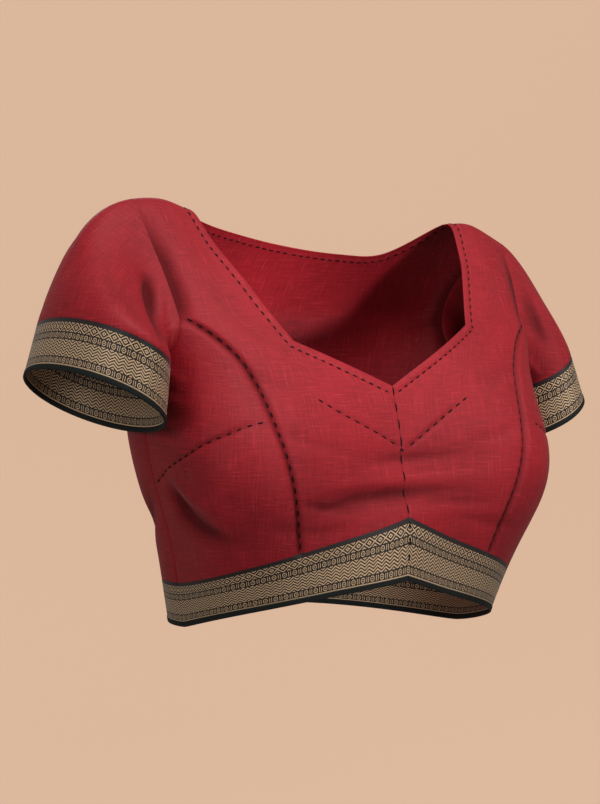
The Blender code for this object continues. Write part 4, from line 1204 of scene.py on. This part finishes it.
def running_stitches(points, normals, long, gap, start):
    """Vertices and faces of stitches along a line, each a thread that comes out of the cloth and goes in."""
    length = length_along(points)
    vertices, faces = [], []
    at, count = start, 0
    arch = np.sqrt(np.sin(np.linspace(0, math.pi, STITCH_SECTIONS)))[:, None]
    while at + long < length[-1]:
        end = at + long * (1 + UNEVEN * math.sin(count * UNEVEN_TURN))
        stretch = np.linspace(at, end, STITCH_SECTIONS)
        middle, normal = read_at(stretch, length, points), unit(read_at(stretch, length, normals))
        across = unit(np.cross(normal, unit(np.gradient(middle, axis=0))))
        middle = middle + normal * (STITCH_RISE * arch - STITCH_DIP)
        first = len(vertices)
        for row in range(STITCH_SECTIONS):
            size = THREAD * (STITCH_END + (1 - STITCH_END) * arch[row, 0])
            for k in range(THREAD_SIDES):
                a = 2 * math.pi * k / THREAD_SIDES
                vertices.append(middle[row] + size * (math.cos(a) * across[row] + math.sin(a) * normal[row]))
        faces += tube_faces(STITCH_SECTIONS, THREAD_SIDES, first)
        faces.append(range(first, first + THREAD_SIDES))
        faces.append(range(len(vertices) - 1, len(vertices) - 1 - THREAD_SIDES, -1))
        at, count = end + gap, count + 1
    return vertices, faces


def on_cloth(side, line, used, inside=False):
    """The line on the creased cloth and the directions out of it, or the same on the inner face."""
    dense = evenly(side, line, LINE_STEPS)
    points = dressed(side, dense, used)[:, :3]
    normals = out_of_form(side, dense)
    return (points - SILK * normals, -normals) if inside else (points, normals)


def stitched(name, *runs):
    """One object of all the stitches of a seam."""
    vertices, faces = [], []
    for run in runs:
        new_vertices, new_faces = running_stitches(*run)
        faces += [[i + len(vertices) for i in face] for face in new_faces]
        vertices += new_vertices
    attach(into_scene(name, smooth_mesh(name, vertices, faces, thread_look)), "root")


for side in SIDES:
    stitched(
        "neck_stitches_" + NAME_OF[side],
        (*on_cloth(side, neck_stitches["front", side], front_creases), *NECK_STITCH),
        (*on_cloth(side, neck_stitches["back", side], creases), *NECK_STITCH),
        (*on_cloth(side, neck_stitches["back", side], creases, inside=True), *NECK_STITCH),
    )
    princess = beside(side, fronts[side]["princess"], BESIDE_SEAM)
    stitched(
        "seam_stitches_" + NAME_OF[side],
        (*on_cloth(side, princess, front_creases), *PRINCESS_STITCH),
        (*on_cloth(side, darts[side], front_creases), *DART_STITCH),
        (*on_cloth(side, darts[side, "side"], front_creases), *DART_STITCH),
    )

centre_foot, centre_head, tack = way_at(np.array([HEM[2] + EDGE_WIDTH, FRONT_NECK_POINT, TACK_HEIGHT]))
centre_line = np.linspace((centre_head, 0), (centre_foot, 0), LINE_STEPS)
# The tack: two short crossed stitches where the darts meet the centre seam.
crossing = [
    np.linspace((tack - TACK_UP, -turn), (tack + TACK_UP, turn), LINE_STEPS)
    for turn in (TACK_ROUND, -TACK_ROUND)
]
stitched(
    "centre_stitches",
    (*on_cloth(LEFT, centre_line, front_creases), *CENTRE_STITCH),
    *((*on_cloth(LEFT, line, front_creases), *TACK_STITCH) for line in crossing),
)

# Backdrop. A round pale studio sweep, floor and wall in one, of seamless paper.

FLOOR, ROUND, WALL_FAR, WALL_TOP = -1.35, 1.2, 4.6, 2.4
SWEEP_SIDES, ROUND_STEPS = 96, 12
profile = [(0.0, FLOOR)]
for k in range(ROUND_STEPS + 1):
    a = math.pi / 2 * k / ROUND_STEPS
    profile.append((WALL_FAR - ROUND + ROUND * math.sin(a), FLOOR + ROUND - ROUND * math.cos(a)))
profile.append((WALL_FAR, WALL_TOP))
turns = [-2 * math.pi * k / SWEEP_SIDES for k in range(SWEEP_SIDES)]
vertices = [(far * math.cos(a), far * math.sin(a), up) for far, up in profile for a in turns]
# Paper has no gloss at all. It is lit from behind, with a faint mottle over about a metre.
paper, tree, shader = surface(
    "seamless backdrop paper, matt and lit from behind",
    Roughness=0.9,
    Emission_Color=linear("e0bea4"),
    Emission_Strength=0.56,
)
tone = add(tree, "TexNoise", {"Vector": add(tree, "TexCoord").outputs["Object"], "Scale": 0.8, "Detail": 2.0})
coloured = add(tree, "Mix", {0: tone, 6: linear("d9b497"), 7: linear("dfba9f")}, data_type="RGBA")
fill(tree, shader, {"Base Color": coloured})
faces = tube_faces(len(profile), SWEEP_SIDES)
sweep = into_scene("studio_sweep", smooth_mesh("studio_sweep", vertices, faces, paper))
# The paper is only the background: its own glow stays off the cloth, so the blouse keeps deep shade.
sweep.visible_diffuse, sweep.visible_glossy = False, False

# Light. A wide soft key light high in front, weak soft lights at the left, the right and behind, and two
# soft-edged lights from a little below in front: one on the upper chest, one through the neck onto the
# inside. The surround is pale and weak.

MIDDLE = (0.0, 0.0, -0.15)


def beam(degrees, softness):
    """The settings of a soft-edged light of that width."""
    return {"spot_size": math.radians(degrees), "spot_blend": 1.0, "shadow_soft_size": softness}


for name, kind, watts, spot, aim, settings in (
    ("key_light", "AREA", 68.0, (-0.50, -1.7, 2.9), MIDDLE, {"size": 1.1}),
    ("side_light", "AREA", 10.0, (-2.3, -1.0, 0.35), MIDDLE, {"size": 0.8}),
    ("right_light", "AREA", 20.0, (1.3, -2.0, 1.7), MIDDLE, {"size": 0.6}),
    ("back_light", "AREA", 14.0, (0.8, 2.4, 1.6), MIDDLE, {"size": 1.6}),
    ("front_light", "SPOT", 140.0, (0.20, -2.35, -0.24), (0.0, 0.0, -0.05), beam(11.0, 0.16)),
    ("inside_light", "SPOT", 150.0, (0.05, -2.40, -0.36), (-0.03, 0.08, -0.02), beam(4.6, 0.04)),
):
    lamp = bpy.data.lights.new(name, kind)
    lamp.energy = watts
    for setting, value in settings.items():
        setattr(lamp, setting, value)
    x, y, z = np.subtract(aim, spot)
    made = into_scene(name, lamp)
    made.location = spot
    made.rotation_euler = (math.atan2(math.hypot(x, y), -z), 0, math.atan2(-x, y))
world = bpy.data.worlds.new("pale surround")
bpy.context.scene.world = world
world.use_nodes = True
surround = world.node_tree.nodes["Background"]
fill(world.node_tree, surround, {"Color": linear("fff4ea"), "Strength": 0.24})
bpy.context.scene.view_settings.view_transform = "Standard"

# Camera. At the photograph's angle: 35 degrees to the wearer's right, level with the bust.

AZIMUTH, DISTANCE, AIM_HEIGHT = math.radians(-35), 2.09, -0.148
lens = bpy.data.cameras.new("camera")
lens.lens, lens.sensor_width = 121.7, 36.0
lens.shift_x, lens.shift_y = -0.0261, 0.0162
camera = into_scene("camera", lens)
camera.location = (DISTANCE * math.sin(AZIMUTH), -DISTANCE * math.cos(AZIMUTH), AIM_HEIGHT)
camera.rotation_euler = (math.pi / 2, 0, AZIMUTH)
bpy.context.scene.camera = camera
